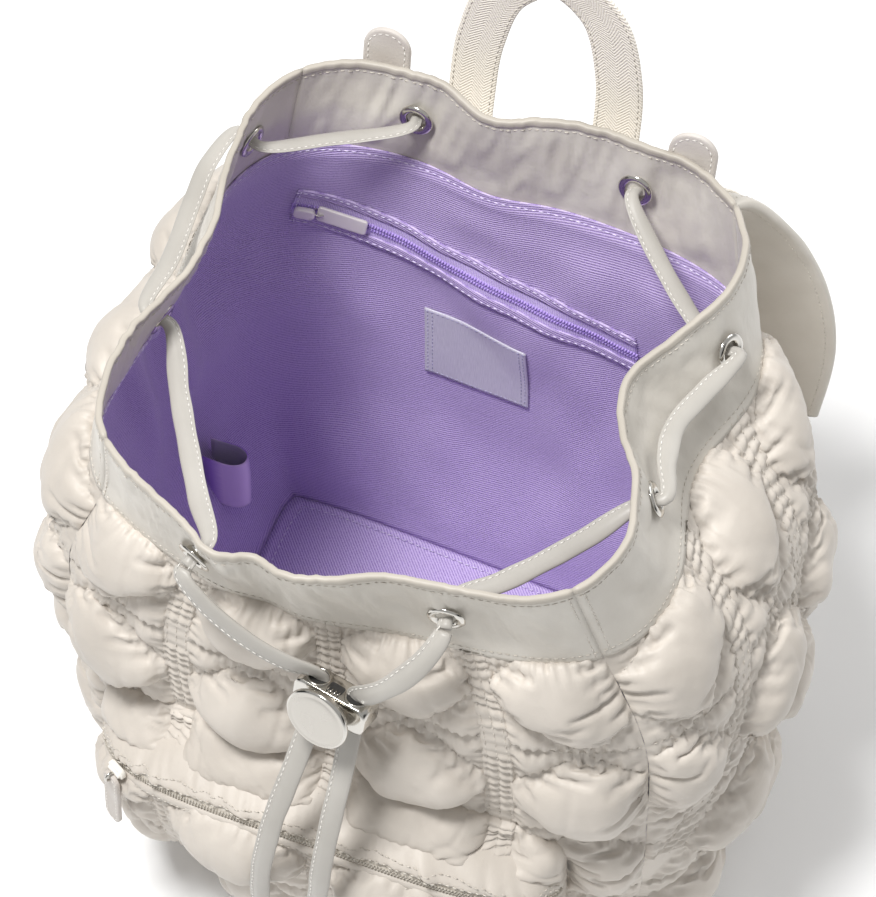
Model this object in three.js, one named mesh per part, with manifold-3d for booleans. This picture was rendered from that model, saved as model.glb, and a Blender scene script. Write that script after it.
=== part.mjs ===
// A ruched nylon drawstring backpack, standing on its base with its mouth held open.
// Millimetres, +Z up, front towards -Y. The origin is the middle of the underside of the base.
import * as THREE from 'three';
import { mergeVertices } from 'three/addons/utils/BufferGeometryUtils.js';
import Module from 'manifold-3d';

const wasm = await Module();
wasm.setup();

// Walls and gaps
const GAP = 0.3;
const BASE_THICKNESS = 4;
const SHELL = 3;
const COLLAR = 2;
const LINING = 1;
const LINING_GAP = 0.8;
const LINING_FACE = -(LINING_GAP + LINING);

// Body: one row for each level, outline as a rounded rectangle of the stated half width and depths
const SECTIONS = [
  { height: 0, halfWidth: 118, front: 78, back: 82, squareness: 4.5, shift: 0 },
  { height: 14, halfWidth: 130, front: 90, back: 86, squareness: 4.2, shift: 0 },
  { height: 70, halfWidth: 142, front: 108, back: 90, squareness: 3.8, shift: 0 },
  { height: 140, halfWidth: 147, front: 114, back: 96, squareness: 3.6, shift: -2 },
  { height: 200, halfWidth: 145, front: 112, back: 103, squareness: 3.6, shift: -5 },
  { height: 245, halfWidth: 120, front: 102, back: 107, squareness: 4.0, shift: -8 },
  { height: 292, halfWidth: 106, front: 106, back: 114, squareness: 4.6, shift: -10 },
];
const SECTION_VALUES = ['halfWidth', 'front', 'back', 'squareness', 'shift'];

// Folds of the open mouth: place and width run along a panel from -1 to 1,
// inward and lift are sizes at the rim
const RIM_FOLDS = [
  { panel: 'right', place: 0, inward: 27, width: 0.55, lift: 0 },
  { panel: 'back', place: 0.15, inward: 8, width: 0.22, lift: -5 },
  { panel: 'front', place: -0.35, inward: -24, width: 0.5, lift: 0 },
  { panel: 'front', place: -0.25, inward: 10, width: 0.13, lift: -3 },
  { panel: 'left', place: -0.1, inward: 13, width: 0.65, lift: 0 },
];
const FOLD_START = 200;
const COLLAR_SEAM = 245;
const RIM = 292;
const LEVEL_EDGE = [BASE_THICKNESS + GAP, 30];
const BACK_SKEW = 0.0008;
const RIM_SKEW_LOSS = 0.75;

// Ruching: rows of puffs between upright shirred strips
const PUFF_ROW = 57;
const PUFFS = {
  front: { height: 12, strips: 67 },
  right: { height: 12, strips: 60 },
  back: { height: 5, strips: 67 },
  left: { height: 12, strips: 60 },
};
const STRIP_SHARE = 0.35;
const PANEL_STEPS = 12;
const PANEL_LEVELS = [4.3, 9, 16, 30, 48, 66, 84, 102, 120, 138, 156, 174, 192, 208, 222, 234, 244.8];
const LINING_LEVELS = [9, 16, 30, 48, 84, 120, 156, 174, 192, 208, 222, 234, 244.7];

// Eyelets along the collar
const EYELET = { flange: 7.5, barrel: 4.7, bore: 3.9, flangeThickness: 0.9, clearance: 0.7, sides: 12 };
const EYELETS = [
  { name: 'front_left', panel: 'front', column: 3 },
  { name: 'front_right', panel: 'front', column: 10 },
  { name: 'right_front', panel: 'right', column: 4 },
  { name: 'right_rear', panel: 'right', column: 10 },
  { name: 'back_right', panel: 'back', column: 3 },
  { name: 'back_left', panel: 'back', column: 10 },
  { name: 'left_rear', panel: 'left', column: 1 },
  { name: 'left_front', panel: 'left', column: 8 },
];

// Finishes
const finish = (color, roughness, metalness) => (
  new THREE.MeshStandardMaterial({ color, roughness, metalness }));
const NYLON = finish(0xcdc7bd, 0.55, 0);
const COLLAR_NYLON = finish(0xcac6be, 0.5, 0);
const LILAC = finish(0xaa8cd7, 0.7, 0);
const SATIN = finish(0x7a55b0, 0.4, 0);
const LABEL = finish(0xc4c4d6, 0.6, 0);
const WEBBING = finish(0xe4dccf, 0.85, 0);
const LEATHER = finish(0xd0cac4, 0.6, 0);
const NICKEL = finish(0xd8d4cc, 0.2, 1);

const backpack = new THREE.Group();

function addTo(group, name, geometry, material) {
  const mesh = new THREE.Mesh(geometry, material);
  mesh.name = name;
  group.add(mesh);
  return mesh;
}

function add(name, geometry, material) {
  return addTo(backpack, name, geometry, material);
}

// Shape of the body

function sectionAt(height) {
  const last = SECTIONS.length - 1;
  const z = Math.min(Math.max(height, SECTIONS[0].height), SECTIONS[last].height);
  let i = 0;
  while (i < last - 1 && z > SECTIONS[i + 1].height) i += 1;
  const slope = (row, key) => {
    const below = SECTIONS[Math.max(row - 1, 0)];
    const above = SECTIONS[Math.min(row + 1, last)];
    return (above[key] - below[key]) / (above.height - below.height);
  };
  const low = SECTIONS[i];
  const high = SECTIONS[i + 1];
  const span = high.height - low.height;
  const u = (z - low.height) / span;
  const section = {};
  for (const key of SECTION_VALUES) {
    section[key] = (1 + 2 * u) * (1 - u) ** 2 * low[key] + u * (1 - u) ** 2 * span * slope(i, key)
      + u * u * (3 - 2 * u) * high[key] + u * u * (u - 1) * span * slope(i + 1, key);
  }
  return section;
}

const OUTWARD = { front: [0, -1], right: [1, 0], back: [0, 1], left: [-1, 0] };
const PANELS = Object.keys(OUTWARD);

function outlinePoint(panel, t, section) {
  const { halfWidth, front, back, squareness } = section;
  const corner = 0.5 ** (1 / squareness);
  const crown = (1 - 0.5 * Math.abs(t) ** squareness) ** (1 / squareness);
  if (panel === 'front') return [halfWidth * corner * t, -front * crown];
  if (panel === 'back') return [-halfWidth * corner * t, back * crown];
  if (panel === 'right') return [halfWidth * crown, (t < 0 ? front : back) * corner * t];
  return [-halfWidth * crown, -(t > 0 ? front : back) * corner * t];
}

function rimShare(height) {
  return THREE.MathUtils.smoothstep(height, FOLD_START, RIM);
}

function seamSurface(panel, t, height) {
  const section = sectionAt(height);
  const share = rimShare(height);
  let [x, y] = outlinePoint(panel, t, section);
  let z = height;
  for (const fold of RIM_FOLDS) {
    if (fold.panel !== panel) continue;
    const weight = Math.exp(-(((t - fold.place) / fold.width) ** 2)) * share * (1 - t * t) ** 2;
    x -= OUTWARD[panel][0] * fold.inward * weight;
    y -= OUTWARD[panel][1] * fold.inward * weight;
    z += fold.lift * weight;
  }
  if (y > 0) y *= 1 - BACK_SKEW * (1 - RIM_SKEW_LOSS * share) * x;
  return new THREE.Vector3(x + section.shift, y, z);
}

function surfaceNormal(panel, t, height) {
  const stepAcross = 0.001;
  const stepUp = 0.5;
  const across = seamSurface(panel, t + stepAcross, height).sub(seamSurface(panel, t - stepAcross, height));
  const up = seamSurface(panel, t, height + stepUp).sub(seamSurface(panel, t, height - stepUp));
  const normal = across.cross(up).normalize();
  normal.z *= THREE.MathUtils.smoothstep(height, ...LEVEL_EDGE);
  return normal.normalize();
}

function surfacePoint(panel, t, height, offset) {
  return seamSurface(panel, t, height).addScaledVector(surfaceNormal(panel, t, height), offset);
}

// Half the length of a panel at its waist, from its middle to a corner seam
function panelReach(panel) {
  const { halfWidth, front, back, squareness } = sectionAt(140);
  const corner = 0.5 ** (1 / squareness);
  return (panel === 'front' || panel === 'back' ? halfWidth : (front + back) / 2) * corner;
}

// Solids

const steps = (from, to, count) => (
  Array.from({ length: count + 1 }, (_, i) => from + ((to - from) * i) / count));

function closedGeometry(positions, triangles) {
  const geometry = new THREE.BufferGeometry();
  geometry.setAttribute('position', new THREE.Float32BufferAttribute(positions, 3));
  geometry.setIndex(triangles);
  geometry.computeVertexNormals();
  return geometry;
}

// A wall between two grids of points: rows run along the wall's height, and a ring closes on itself
function wall(outer, inner, ring = false) {
  const rows = outer.length;
  const columns = outer[0].length;
  const positions = [...outer.flat(), ...inner.flat()].flatMap((p) => [p.x, p.y, p.z]);
  const at = (side, row, column) => side * rows * columns + row * columns + (column % columns);
  const triangles = [];
  const quad = (a, b, c, d) => triangles.push(a, b, c, a, c, d);
  const spans = ring ? columns : columns - 1;
  for (let row = 0; row < rows - 1; row += 1) {
    for (let i = 0; i < spans; i += 1) {
      quad(at(0, row, i), at(0, row, i + 1), at(0, row + 1, i + 1), at(0, row + 1, i));
      quad(at(1, row, i + 1), at(1, row, i), at(1, row + 1, i), at(1, row + 1, i + 1));
    }
    if (!ring) {
      quad(at(1, row, 0), at(0, row, 0), at(0, row + 1, 0), at(1, row + 1, 0));
      quad(at(0, row, spans), at(1, row, spans), at(1, row + 1, spans), at(0, row + 1, spans));
    }
  }
  for (let i = 0; i < spans; i += 1) {
    quad(at(1, 0, i), at(1, 0, i + 1), at(0, 0, i + 1), at(0, 0, i));
    quad(at(0, rows - 1, i), at(0, rows - 1, i + 1), at(1, rows - 1, i + 1), at(1, rows - 1, i));
  }
  return closedGeometry(positions, triangles);
}

function asSolid(geometry) {
  const bare = geometry.clone();
  bare.deleteAttribute('normal');
  bare.deleteAttribute('uv');
  const merged = mergeVertices(bare, 1e-4);
  const vertProperties = new Float32Array(merged.attributes.position.array);
  const triVerts = new Uint32Array(merged.index.array);
  return new wasm.Manifold(new wasm.Mesh({ numProp: 3, vertProperties, triVerts }));
}

function cut(geometry, tools) {
  let solid = asSolid(geometry);
  for (const tool of tools) solid = solid.subtract(asSolid(tool));
  const { vertProperties, triVerts } = solid.getMesh();
  return closedGeometry(Array.from(vertProperties), Array.from(triVerts));
}

// A strip along a path: faceHint is the way its face looks, or sideHint the way its width runs
function strip(path, { width, thickness, count, faceHint, sideHint, crown = 0, taper = 0 }) {
  const curve = new THREE.CatmullRomCurve3(path, false, 'centripetal');
  const square = (hint, tangent) => hint.clone().addScaledVector(tangent, -hint.dot(tangent)).normalize();
  const outer = [];
  const inner = [];
  for (const u of steps(0, 1, count)) {
    const centre = curve.getPointAt(u);
    const tangent = curve.getTangentAt(u);
    const side = sideHint ? square(sideHint, tangent) : square(faceHint, tangent).cross(tangent);
    const face = tangent.clone().cross(side);
    const half = width / 2 - taper * (2 * u - 1) ** 2;
    const outerRow = [];
    const innerRow = [];
    for (const w of steps(-1, 1, crown > 0 ? 4 : 2)) {
      const edge = centre.clone().addScaledVector(side, w * half);
      const rise = thickness / 2 + crown * (1 - w * w);
      outerRow.push(edge.clone().addScaledVector(face, rise));
      innerRow.push(edge.clone().addScaledVector(face, -rise));
    }
    outer.push(outerRow);
    inner.push(innerRow);
  }
  return outward(wall(outer, inner));
}

// Turns a closed geometry the right way out
function outward(geometry) {
  const position = geometry.attributes.position;
  const index = geometry.index.array;
  const corner = (k) => new THREE.Vector3().fromBufferAttribute(position, index[k]);
  let volume = 0;
  for (let k = 0; k < index.length; k += 3) volume += corner(k).dot(corner(k + 1).cross(corner(k + 2)));
  if (volume < 0) {
    for (let k = 0; k < index.length; k += 3) [index[k], index[k + 1]] = [index[k + 1], index[k]];
    geometry.computeVertexNormals();
  }
  return geometry;
}

function lathe(profile, sides) {
  const points = profile.map(([radius, along]) => new THREE.Vector2(radius, along));
  const geometry = new THREE.LatheGeometry(points, sides);
  geometry.deleteAttribute('normal');
  geometry.deleteAttribute('uv');
  return outward(mergeVertices(geometry, 1e-4));
}

// Front pocket: a padded face over the lower front, closed by a zip under a band along its arched top
const POCKET = {
  middle: -0.05, reach: 0.82, bottom: 24, zip: 132, arch: 24, band: 16, tape: 6, tapeThickness: 1.6,
  depth: 27, wall: 3, rise: 60, clear: 20, clearEnds: 1.25,
};
const POCKET_LIFT = SHELL + 2.5 * GAP;

function zipLine(u) {
  return POCKET.zip - POCKET.arch * Math.abs(u) ** 3;
}

function pocketCovers(t, height) {
  const u = (t - POCKET.middle) / POCKET.reach;
  const top = zipLine(u) + POCKET.band + POCKET.clear;
  return Math.abs(u) < POCKET.clearEnds && height > POCKET.bottom - POCKET.clear && height < top;
}

function pocketDepth(u, height) {
  const rise = THREE.MathUtils.smoothstep(height, POCKET.bottom, POCKET.bottom + POCKET.rise);
  const fall = 1 - THREE.MathUtils.smoothstep(height, zipLine(u), zipLine(u) + POCKET.band);
  return POCKET.depth * Math.sqrt(Math.max(0, 1 - u ** 4)) * Math.min(rise, fall);
}

function pocketPoint(u, height, offset) {
  const t = POCKET.middle + POCKET.reach * u;
  return surfacePoint('front', t, height, POCKET_LIFT + pocketDepth(u, height) + offset);
}

// A stretch of the pocket between two levels, each a function of the place across it
function pocketWall(low, high, rows, thickness) {
  const grid = (offset) => steps(0, 1, rows).map((v) => (
    steps(-1, 1, 14).map((u) => pocketPoint(u, low(u) + v * (high(u) - low(u)), offset))));
  return wall(grid(thickness), grid(0));
}

// Panels of the body

function puff(panel, t, height) {
  const { height: rise, strips } = PUFFS[panel];
  const along = t * panelReach(panel);
  const turn = (2 * Math.PI * along) / strips;
  const lattice = Math.abs(Math.cos(turn) - Math.cos((2 * Math.PI * height) / PUFF_ROW)) / 2;
  const strip = STRIP_SHARE + (1 - STRIP_SHARE) * Math.sin(turn / 2) ** 2;
  const low = Math.min(1, (height - BASE_THICKNESS) / 20);
  const high = Math.min(1, (COLLAR_SEAM - height) / 12);
  const edge = Math.max(0, (1 - t ** 8) * low * high);
  const covered = panel === 'front' && pocketCovers(t, height) ? 1 : 0;
  return rise * strip * Math.sqrt(lattice) * edge * (1 - covered);
}

function bodyPanel(panel) {
  const reach = 1 - GAP / 2 / panelReach(panel);
  const across = steps(-reach, reach, PANEL_STEPS);
  const row = (z, offset) => across.map((t) => surfacePoint(panel, t, z, offset(t, z)));
  const grid = (offset) => PANEL_LEVELS.map((z) => row(z, offset));
  return wall(grid((t, z) => SHELL + puff(panel, t, z)), grid(() => 0));
}

for (const panel of PANELS) add(`${panel}_panel`, bodyPanel(panel), NYLON);

function ringPoints(height, offset) {
  return PANELS.flatMap((panel) => (
    steps(-1, 1, PANEL_STEPS).slice(0, -1).map((t) => surfacePoint(panel, t, height, offset))));
}

function floorPlate(height, offset, low, thickness) {
  const outline = new THREE.Shape(ringPoints(height, offset).map((p) => new THREE.Vector2(p.x, p.y)));
  const geometry = new THREE.ExtrudeGeometry(outline, { depth: thickness, bevelEnabled: false });
  geometry.translate(0, 0, low);
  return geometry;
}

const BASE_LIP = 6;
add('base_panel', floorPlate(0, BASE_LIP, 0, BASE_THICKNESS), NYLON);

// Lining: a thin wall inside the panels and a floor over the base
const FLOOR = { low: BASE_THICKNESS + GAP, thickness: 4.4, inset: LINING_FACE - 0.6 };
add('lining_base', floorPlate(FLOOR.low, FLOOR.inset, FLOOR.low, FLOOR.thickness), LILAC);
const liningWall = wall(
  LINING_LEVELS.map((z) => ringPoints(z, -LINING_GAP)),
  LINING_LEVELS.map((z) => ringPoints(z, LINING_FACE)),
  true,
);
add('lining_wall', liningWall, LILAC);

// Collar with its eyelets

const COLLAR_COLUMNS = 14;
const COLLAR_LEVELS = steps(COLLAR_SEAM + 2 * GAP, RIM, 3);
const EYELET_ROW = 1;

function collarColumns(panel) {
  const reach = 1 - GAP / 2 / panelReach(panel);
  return steps(-reach, reach, COLLAR_COLUMNS);
}

// An eyelet sits in the middle of one face of the collar's wall, square to it
function eyeletFrame({ panel, column }) {
  const columns = collarColumns(panel);
  const corner = (right, high) => (
    surfacePoint(panel, columns[column + right], COLLAR_LEVELS[EYELET_ROW + high], COLLAR / 2));
  const rising = corner(1, 1).sub(corner(0, 0));
  const falling = corner(1, 0).sub(corner(0, 1));
  const frame = new THREE.Object3D();
  for (const [right, high] of [[0, 0], [0, 1], [1, 0], [1, 1]]) {
    frame.position.addScaledVector(corner(right, high), 1 / 4);
  }
  frame.quaternion.setFromUnitVectors(new THREE.Vector3(0, 1, 0), falling.cross(rising).normalize());
  frame.updateMatrix();
  return frame;
}

function eyeletHole(eyelet) {
  const radius = EYELET.barrel + GAP;
  const hole = new THREE.CylinderGeometry(radius, radius, 6 * COLLAR, EYELET.sides);
  return hole.applyMatrix4(eyeletFrame(eyelet).matrix);
}

function collarPanel(panel) {
  const columns = collarColumns(panel);
  const grid = (offset) => COLLAR_LEVELS.map((z) => columns.map((t) => surfacePoint(panel, t, z, offset)));
  const holes = EYELETS.filter((eyelet) => eyelet.panel === panel).map(eyeletHole);
  return cut(wall(grid(COLLAR), grid(0)), holes);
}

for (const panel of PANELS) add(`collar_${panel}`, collarPanel(panel), COLLAR_NYLON);

const flangeLow = COLLAR / 2 + EYELET.clearance;
const flangeHigh = flangeLow + EYELET.flangeThickness;
const EYELET_PROFILE = [
  [EYELET.bore, -flangeHigh],
  [EYELET.flange, -flangeHigh],
  [EYELET.flange, -flangeLow],
  [EYELET.barrel, -flangeLow],
  [EYELET.barrel, flangeLow],
  [EYELET.flange, flangeLow],
  [EYELET.flange, flangeHigh],
  [EYELET.bore, flangeHigh],
  [EYELET.bore, -flangeHigh],
];
for (const eyelet of EYELETS) {
  const frame = eyeletFrame(eyelet);
  const ring = add(`eyelet_${eyelet.name}`, lathe(EYELET_PROFILE, EYELET.sides), NICKEL);
  ring.position.copy(frame.position);
  ring.quaternion.copy(frame.quaternion);
}

// Front pocket pieces
const tapeLow = (u) => zipLine(u) - POCKET.tape / 2;
const tapeHigh = (u) => zipLine(u) + POCKET.tape / 2;
const pocketFace = pocketWall(() => POCKET.bottom, (u) => tapeLow(u) - GAP, 8, POCKET.wall);
add('pocket_face', pocketFace, NYLON);
add('pocket_zip_tape', pocketWall(tapeLow, tapeHigh, 1, POCKET.tapeThickness), WEBBING);
const bandLow = (u) => tapeHigh(u) + GAP;
const bandHigh = (u) => tapeHigh(u) + POCKET.band;
add('pocket_band', pocketWall(bandLow, bandHigh, 3, POCKET.wall), NYLON);

// A frame standing on a surface: X across it, Z up it and Y out of it
function frameOn(pointAt, u, height, tilt = 0) {
  const across = pointAt(u + 0.01, height).sub(pointAt(u - 0.01, height)).normalize();
  const up = pointAt(u, height + 1).sub(pointAt(u, height - 1));
  const out = across.clone().cross(up).normalize();
  const frame = new THREE.Group();
  const upright = out.clone().negate().cross(across).negate();
  frame.quaternion.setFromRotationMatrix(new THREE.Matrix4().makeBasis(across, out.negate(), upright));
  frame.position.copy(pointAt(u, height));
  frame.rotateY(tilt);
  backpack.add(frame);
  return frame;
}

// A flat plate with round corners, standing in X and Z with its thickness along Y
function plate(width, height, thickness, radius, holes = []) {
  const outline = roundedShape(width, height, radius);
  for (const hole of holes) outline.holes.push(hole);
  const form = { depth: thickness, bevelEnabled: false, curveSegments: 4 };
  const geometry = new THREE.ExtrudeGeometry(outline, form);
  geometry.translate(0, 0, -thickness / 2);
  geometry.rotateX(Math.PI / 2);
  return geometry;
}

function roundedShape(width, height, radius, middle = 0) {
  const x = width / 2;
  const z = height / 2;
  const shape = new THREE.Shape();
  shape.absarc(x - radius, middle + z - radius, radius, 0, Math.PI / 2, false);
  shape.absarc(radius - x, middle + z - radius, radius, Math.PI / 2, Math.PI, false);
  shape.absarc(radius - x, middle + radius - z, radius, Math.PI, 1.5 * Math.PI, false);
  shape.absarc(x - radius, middle + radius - z, radius, 1.5 * Math.PI, 2 * Math.PI, false);
  return shape;
}

// The pocket's zip slider, with a leather pull that hangs from it
const SLIDER = { length: 9, width: 5.4, thickness: 3.5, corner: 1.2 };
const sliderBody = () => plate(SLIDER.length, SLIDER.width, SLIDER.thickness, SLIDER.corner);
const POCKET_PULL = { place: -0.8, width: 9, length: 36, thickness: 2, drop: 19 };
const sliderOnPocket = (u, height) => pocketPoint(u, height, POCKET.wall - GAP + SLIDER.thickness / 2);
const pocketSlider = frameOn(sliderOnPocket, POCKET_PULL.place, zipLine(POCKET_PULL.place));
addTo(pocketSlider, 'pocket_zip_slider', sliderBody(), NICKEL);
const pocketPull = plate(POCKET_PULL.width, POCKET_PULL.length, POCKET_PULL.thickness, 3);
const pull = addTo(pocketSlider, 'pocket_zip_pull', pocketPull, LEATHER);
pull.position.set(0, -(SLIDER.thickness + POCKET_PULL.thickness) / 2 - GAP, -POCKET_PULL.drop);

// Inside: a zip and a bare label on the back of the lining, and a satin loop on its left
const INNER_ZIP = { from: 0.88, fromHeight: 204, to: -0.38, toHeight: 181, tape: 18, thickness: 1.2 };
const PATCH_GAP = 0.8;
const innerFace = (depth) => LINING_FACE - PATCH_GAP - depth;
const zipHeightAt = (t) => {
  const { from, to, fromHeight, toHeight } = INNER_ZIP;
  return THREE.MathUtils.mapLinear(t, from, to, fromHeight, toHeight);
};

function liningPatch(panel, { from, to, level, height, thickness, columns, rows }) {
  const grid = (offset) => steps(-height / 2, height / 2, rows).map((rise) => (
    steps(from, to, columns).map((t) => surfacePoint(panel, t, level(t) + rise, offset))));
  return outward(wall(grid(innerFace(0)), grid(innerFace(thickness))));
}

const tapeShape = { ...INNER_ZIP, height: INNER_ZIP.tape, level: zipHeightAt, columns: 12, rows: 1 };
add('inner_zip_tape', liningPatch('back', tapeShape), LILAC);
const LABEL_PATCH = { from: 0.38, to: -0.03, height: 40, thickness: 0.8, columns: 6, rows: 2 };
add('inner_label', liningPatch('back', { ...LABEL_PATCH, level: () => 138 }), LABEL);

const INNER_PULL = { place: 0.69, width: 22, height: 8, thickness: 1.5, tilt: -0.16, standOff: 1.6 };
const SLIDER_PLACE = 0.835;
const onTape = (depth) => (t, height) => (
  surfacePoint('back', t, height, innerFace(INNER_ZIP.thickness) - INNER_PULL.standOff - depth));
const onInnerZip = (place, thickness) => (
  frameOn(onTape(thickness / 2), place, zipHeightAt(place), INNER_PULL.tilt));
addTo(onInnerZip(SLIDER_PLACE, SLIDER.thickness), 'inner_zip_slider', sliderBody(), NICKEL);
const innerTag = plate(INNER_PULL.width, INNER_PULL.height, INNER_PULL.thickness, 1);
addTo(onInnerZip(INNER_PULL.place, INNER_PULL.thickness), 'inner_zip_pull', innerTag, NICKEL);

const CARE_LOOP = { place: -0.55, low: 46, height: 34, reach: 10, half: 8, thickness: 0.8, sides: 16 };
const loopSeat = surfacePoint('left', CARE_LOOP.place, CARE_LOOP.low, innerFace(0));

function loopRing(height, shrink) {
  return steps(0, 2 * Math.PI, CARE_LOOP.sides).slice(0, -1).map((turn) => new THREE.Vector3(
    loopSeat.x + CARE_LOOP.reach + (CARE_LOOP.reach - shrink) * Math.cos(turn),
    loopSeat.y + (CARE_LOOP.half - shrink) * Math.sin(turn),
    height,
  ));
}

const loopHeights = [CARE_LOOP.low, CARE_LOOP.low + CARE_LOOP.height];
const careLoop = wall(
  loopHeights.map((z) => loopRing(z, 0)),
  loopHeights.map((z) => loopRing(z, CARE_LOOP.thickness)),
  true,
);
add('care_loop', careLoop, SATIN);

// Drawstring: it weaves through the eyelets, and its two ends pass through the lock and hang down
const CORD_RADIUS = 2.5;
const CORD_SIDES = 8;
const DRAWSTRING = [
  [-59.4, -118.6, 266.9], [-57.2, -113.2, 268.2], [-55, -107.7, 269.6], [-68, -88, 266], [-94, -46, 263],
  [-109, -19.8, 267], [-114.6, -18.6, 268.9], [-120.2, -17.5, 270.8], [-121, 8, 270], [-125, 40, 269],
  [-126.5, 60, 269], [-122, 77.8, 269.7], [-116.3, 76.4, 268.7], [-110.6, 75, 267.8], [-88, 90, 265],
  [-57, 105.7, 268.9], [-56.8, 111.7, 268.2], [-56.7, 117.6, 267.4], [-41, 118, 266], [-20, 114.5, 264],
  [8, 117.5, 265], [39.4, 114.9, 267.3], [38.8, 109, 268.4], [38.3, 103.1, 269.5], [52, 87, 265],
  [78, 60, 264], [92.2, 46.8, 266.7], [97.6, 45.2, 268.9], [102.9, 43.6, 271.2], [96, 22, 271.5],
  [90.5, 3, 271.5], [92.5, -13, 271.5], [97.6, -28.6, 271.4], [92.6, -31, 269], [87.7, -33.3, 266.5],
  [74, -52, 263], [52, -82, 265], [38.1, -98.3, 269.2], [38.8, -104.2, 268.5], [39.6, -110.1, 267.7],
];
const END_LEFT = [
  [-59.9, -119.8, 266.6], [-60.5, -121.6, 265.6], [-56, -126, 259], [-44, -129, 252], [-29, -130, 245],
  [-15, -128, 239], [-7, -125.5, 232], [-5.2, -124.4, 227.9], [-5.6, -126, 221.6], [-5.9, -127.7, 215.3],
  [-7, -131, 204], [-9, -137, 190], [-12, -143, 174], [-15, -148, 158], [-17, -151, 142], [-19, -152, 126],
  [-20, -152, 110], [-21, -151.5, 95],
];
const END_RIGHT = [
  [39.8, -111.3, 267.5], [40, -113.2, 266.8], [40, -119, 261], [35, -124.5, 253], [28, -128, 246],
  [20, -129.5, 239], [13.5, -129, 233], [11.5, -127.9, 227.9], [11.1, -129.5, 221.6], [10.8, -131.2, 215.3],
  [10.5, -135, 204], [10, -140, 190], [9, -145, 174], [8, -149, 158], [7, -152, 142], [6, -153, 126],
  [5, -153, 110], [5, -152, 95],
];

// Steps fall on the route's own points, which stand closer where the cord turns
class CordCurve extends THREE.CatmullRomCurve3 {
  getPointAt(u, target) {
    return this.getPoint(u, target);
  }

  getTangentAt(u, target) {
    return this.getTangent(u, target);
  }
}

function cord(route) {
  const curve = new CordCurve(route.map((p) => new THREE.Vector3(...p)), false, 'centripetal');
  const section = new THREE.Shape(steps(0, 2 * Math.PI, CORD_SIDES).slice(0, -1).map((turn) => (
    new THREE.Vector2(CORD_RADIUS * Math.cos(turn), CORD_RADIUS * Math.sin(turn)))));
  const form = { steps: route.length - 1, extrudePath: curve, bevelEnabled: false };
  return new THREE.ExtrudeGeometry(section, form);
}

add('drawstring', cord(DRAWSTRING), COLLAR_NYLON);
add('drawstring_end_left', cord(END_LEFT), COLLAR_NYLON);
add('drawstring_end_right', cord(END_RIGHT), COLLAR_NYLON);

// Cord lock: a housing with two cord holes and a press button with a round face
const LOCK = {
  width: 32, depth: 11, height: 13, corner: 4, holeSpread: 8.5, holeRadius: 3.75, holeDepth: 5.5,
};
const BUTTON = { face: 13.5, ring: 11.6, stem: 3.1, bore: 3.5, boreDepth: 9.5, travelGap: 3.8, sides: 24 };
const lock = new THREE.Group();
lock.position.set(1.7, -133, 223);
lock.rotation.set(THREE.MathUtils.degToRad(-15), 0, THREE.MathUtils.degToRad(-12), 'ZYX');
backpack.add(lock);

function cordHole(x) {
  const hole = new THREE.CylinderGeometry(LOCK.holeRadius, LOCK.holeRadius, 2 * LOCK.height, 14);
  return hole.rotateX(Math.PI / 2).translate(x, LOCK.holeDepth, 0);
}

const housing = new THREE.ExtrudeGeometry(
  roundedShape(LOCK.width, LOCK.depth, LOCK.corner),
  { depth: LOCK.height, bevelEnabled: false, curveSegments: 4 },
);
housing.translate(0, LOCK.depth / 2, -LOCK.height / 2);
const stemBore = new THREE.CylinderGeometry(BUTTON.bore, BUTTON.bore, BUTTON.boreDepth + 1, 14);
stemBore.translate(0, (BUTTON.boreDepth - 1) / 2, 0);
const springWindow = new THREE.BoxGeometry(5, 5, 6).translate(0, LOCK.holeDepth, 5.5);
const lockTools = [cordHole(-LOCK.holeSpread), cordHole(LOCK.holeSpread), stemBore, springWindow];
addTo(lock, 'lock_body', cut(housing, lockTools), NICKEL);

const BUTTON_PROFILE = [
  [0, -8.4], [12.6, -8.4], [BUTTON.face, -7.7], [BUTTON.face, -6.6], [12.4, -5.8], [BUTTON.ring, -5.6],
  [BUTTON.ring, -4.3], [10.8, -BUTTON.travelGap], [BUTTON.stem, -BUTTON.travelGap], [BUTTON.stem, 4.5],
  [0, 4.5],
];
addTo(lock, 'lock_button', lathe(BUTTON_PROFILE, BUTTON.sides), NICKEL);

// Carrying: a webbing handle, and two padded straps with leather tabs at the top and webbing below
const ACROSS = new THREE.Vector3(1, 0, 0);
const BEHIND = new THREE.Vector3(0, 1, 0);
const HANDLE = { width: 20, thickness: 2, count: 20, middle: -8, foot: 0.29, footHeight: 240 };
const HANDLE_ARCH = [
  { side: 31, behind: 127, height: 275 },
  { side: 29, behind: 132, height: 305 },
  { side: 20, behind: 135, height: 332 },
  { side: 0, behind: 136, height: 345 },
];

function handleLeg(sign) {
  const place = -sign * HANDLE.foot;
  const lift = SHELL + puff('back', place, HANDLE.footHeight) + 1.3 * HANDLE.thickness;
  const foot = surfacePoint('back', place, HANDLE.footHeight, lift);
  const arch = HANDLE_ARCH.map(({ side, behind, height }) => (
    new THREE.Vector3(HANDLE.middle + sign * side, behind, height)));
  return [foot, ...arch];
}

const handlePath = [...handleLeg(-1), ...handleLeg(1).reverse().slice(1)];
const handle = strip(handlePath, { ...HANDLE, faceHint: BEHIND });
add('top_handle', handle, WEBBING);

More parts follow.
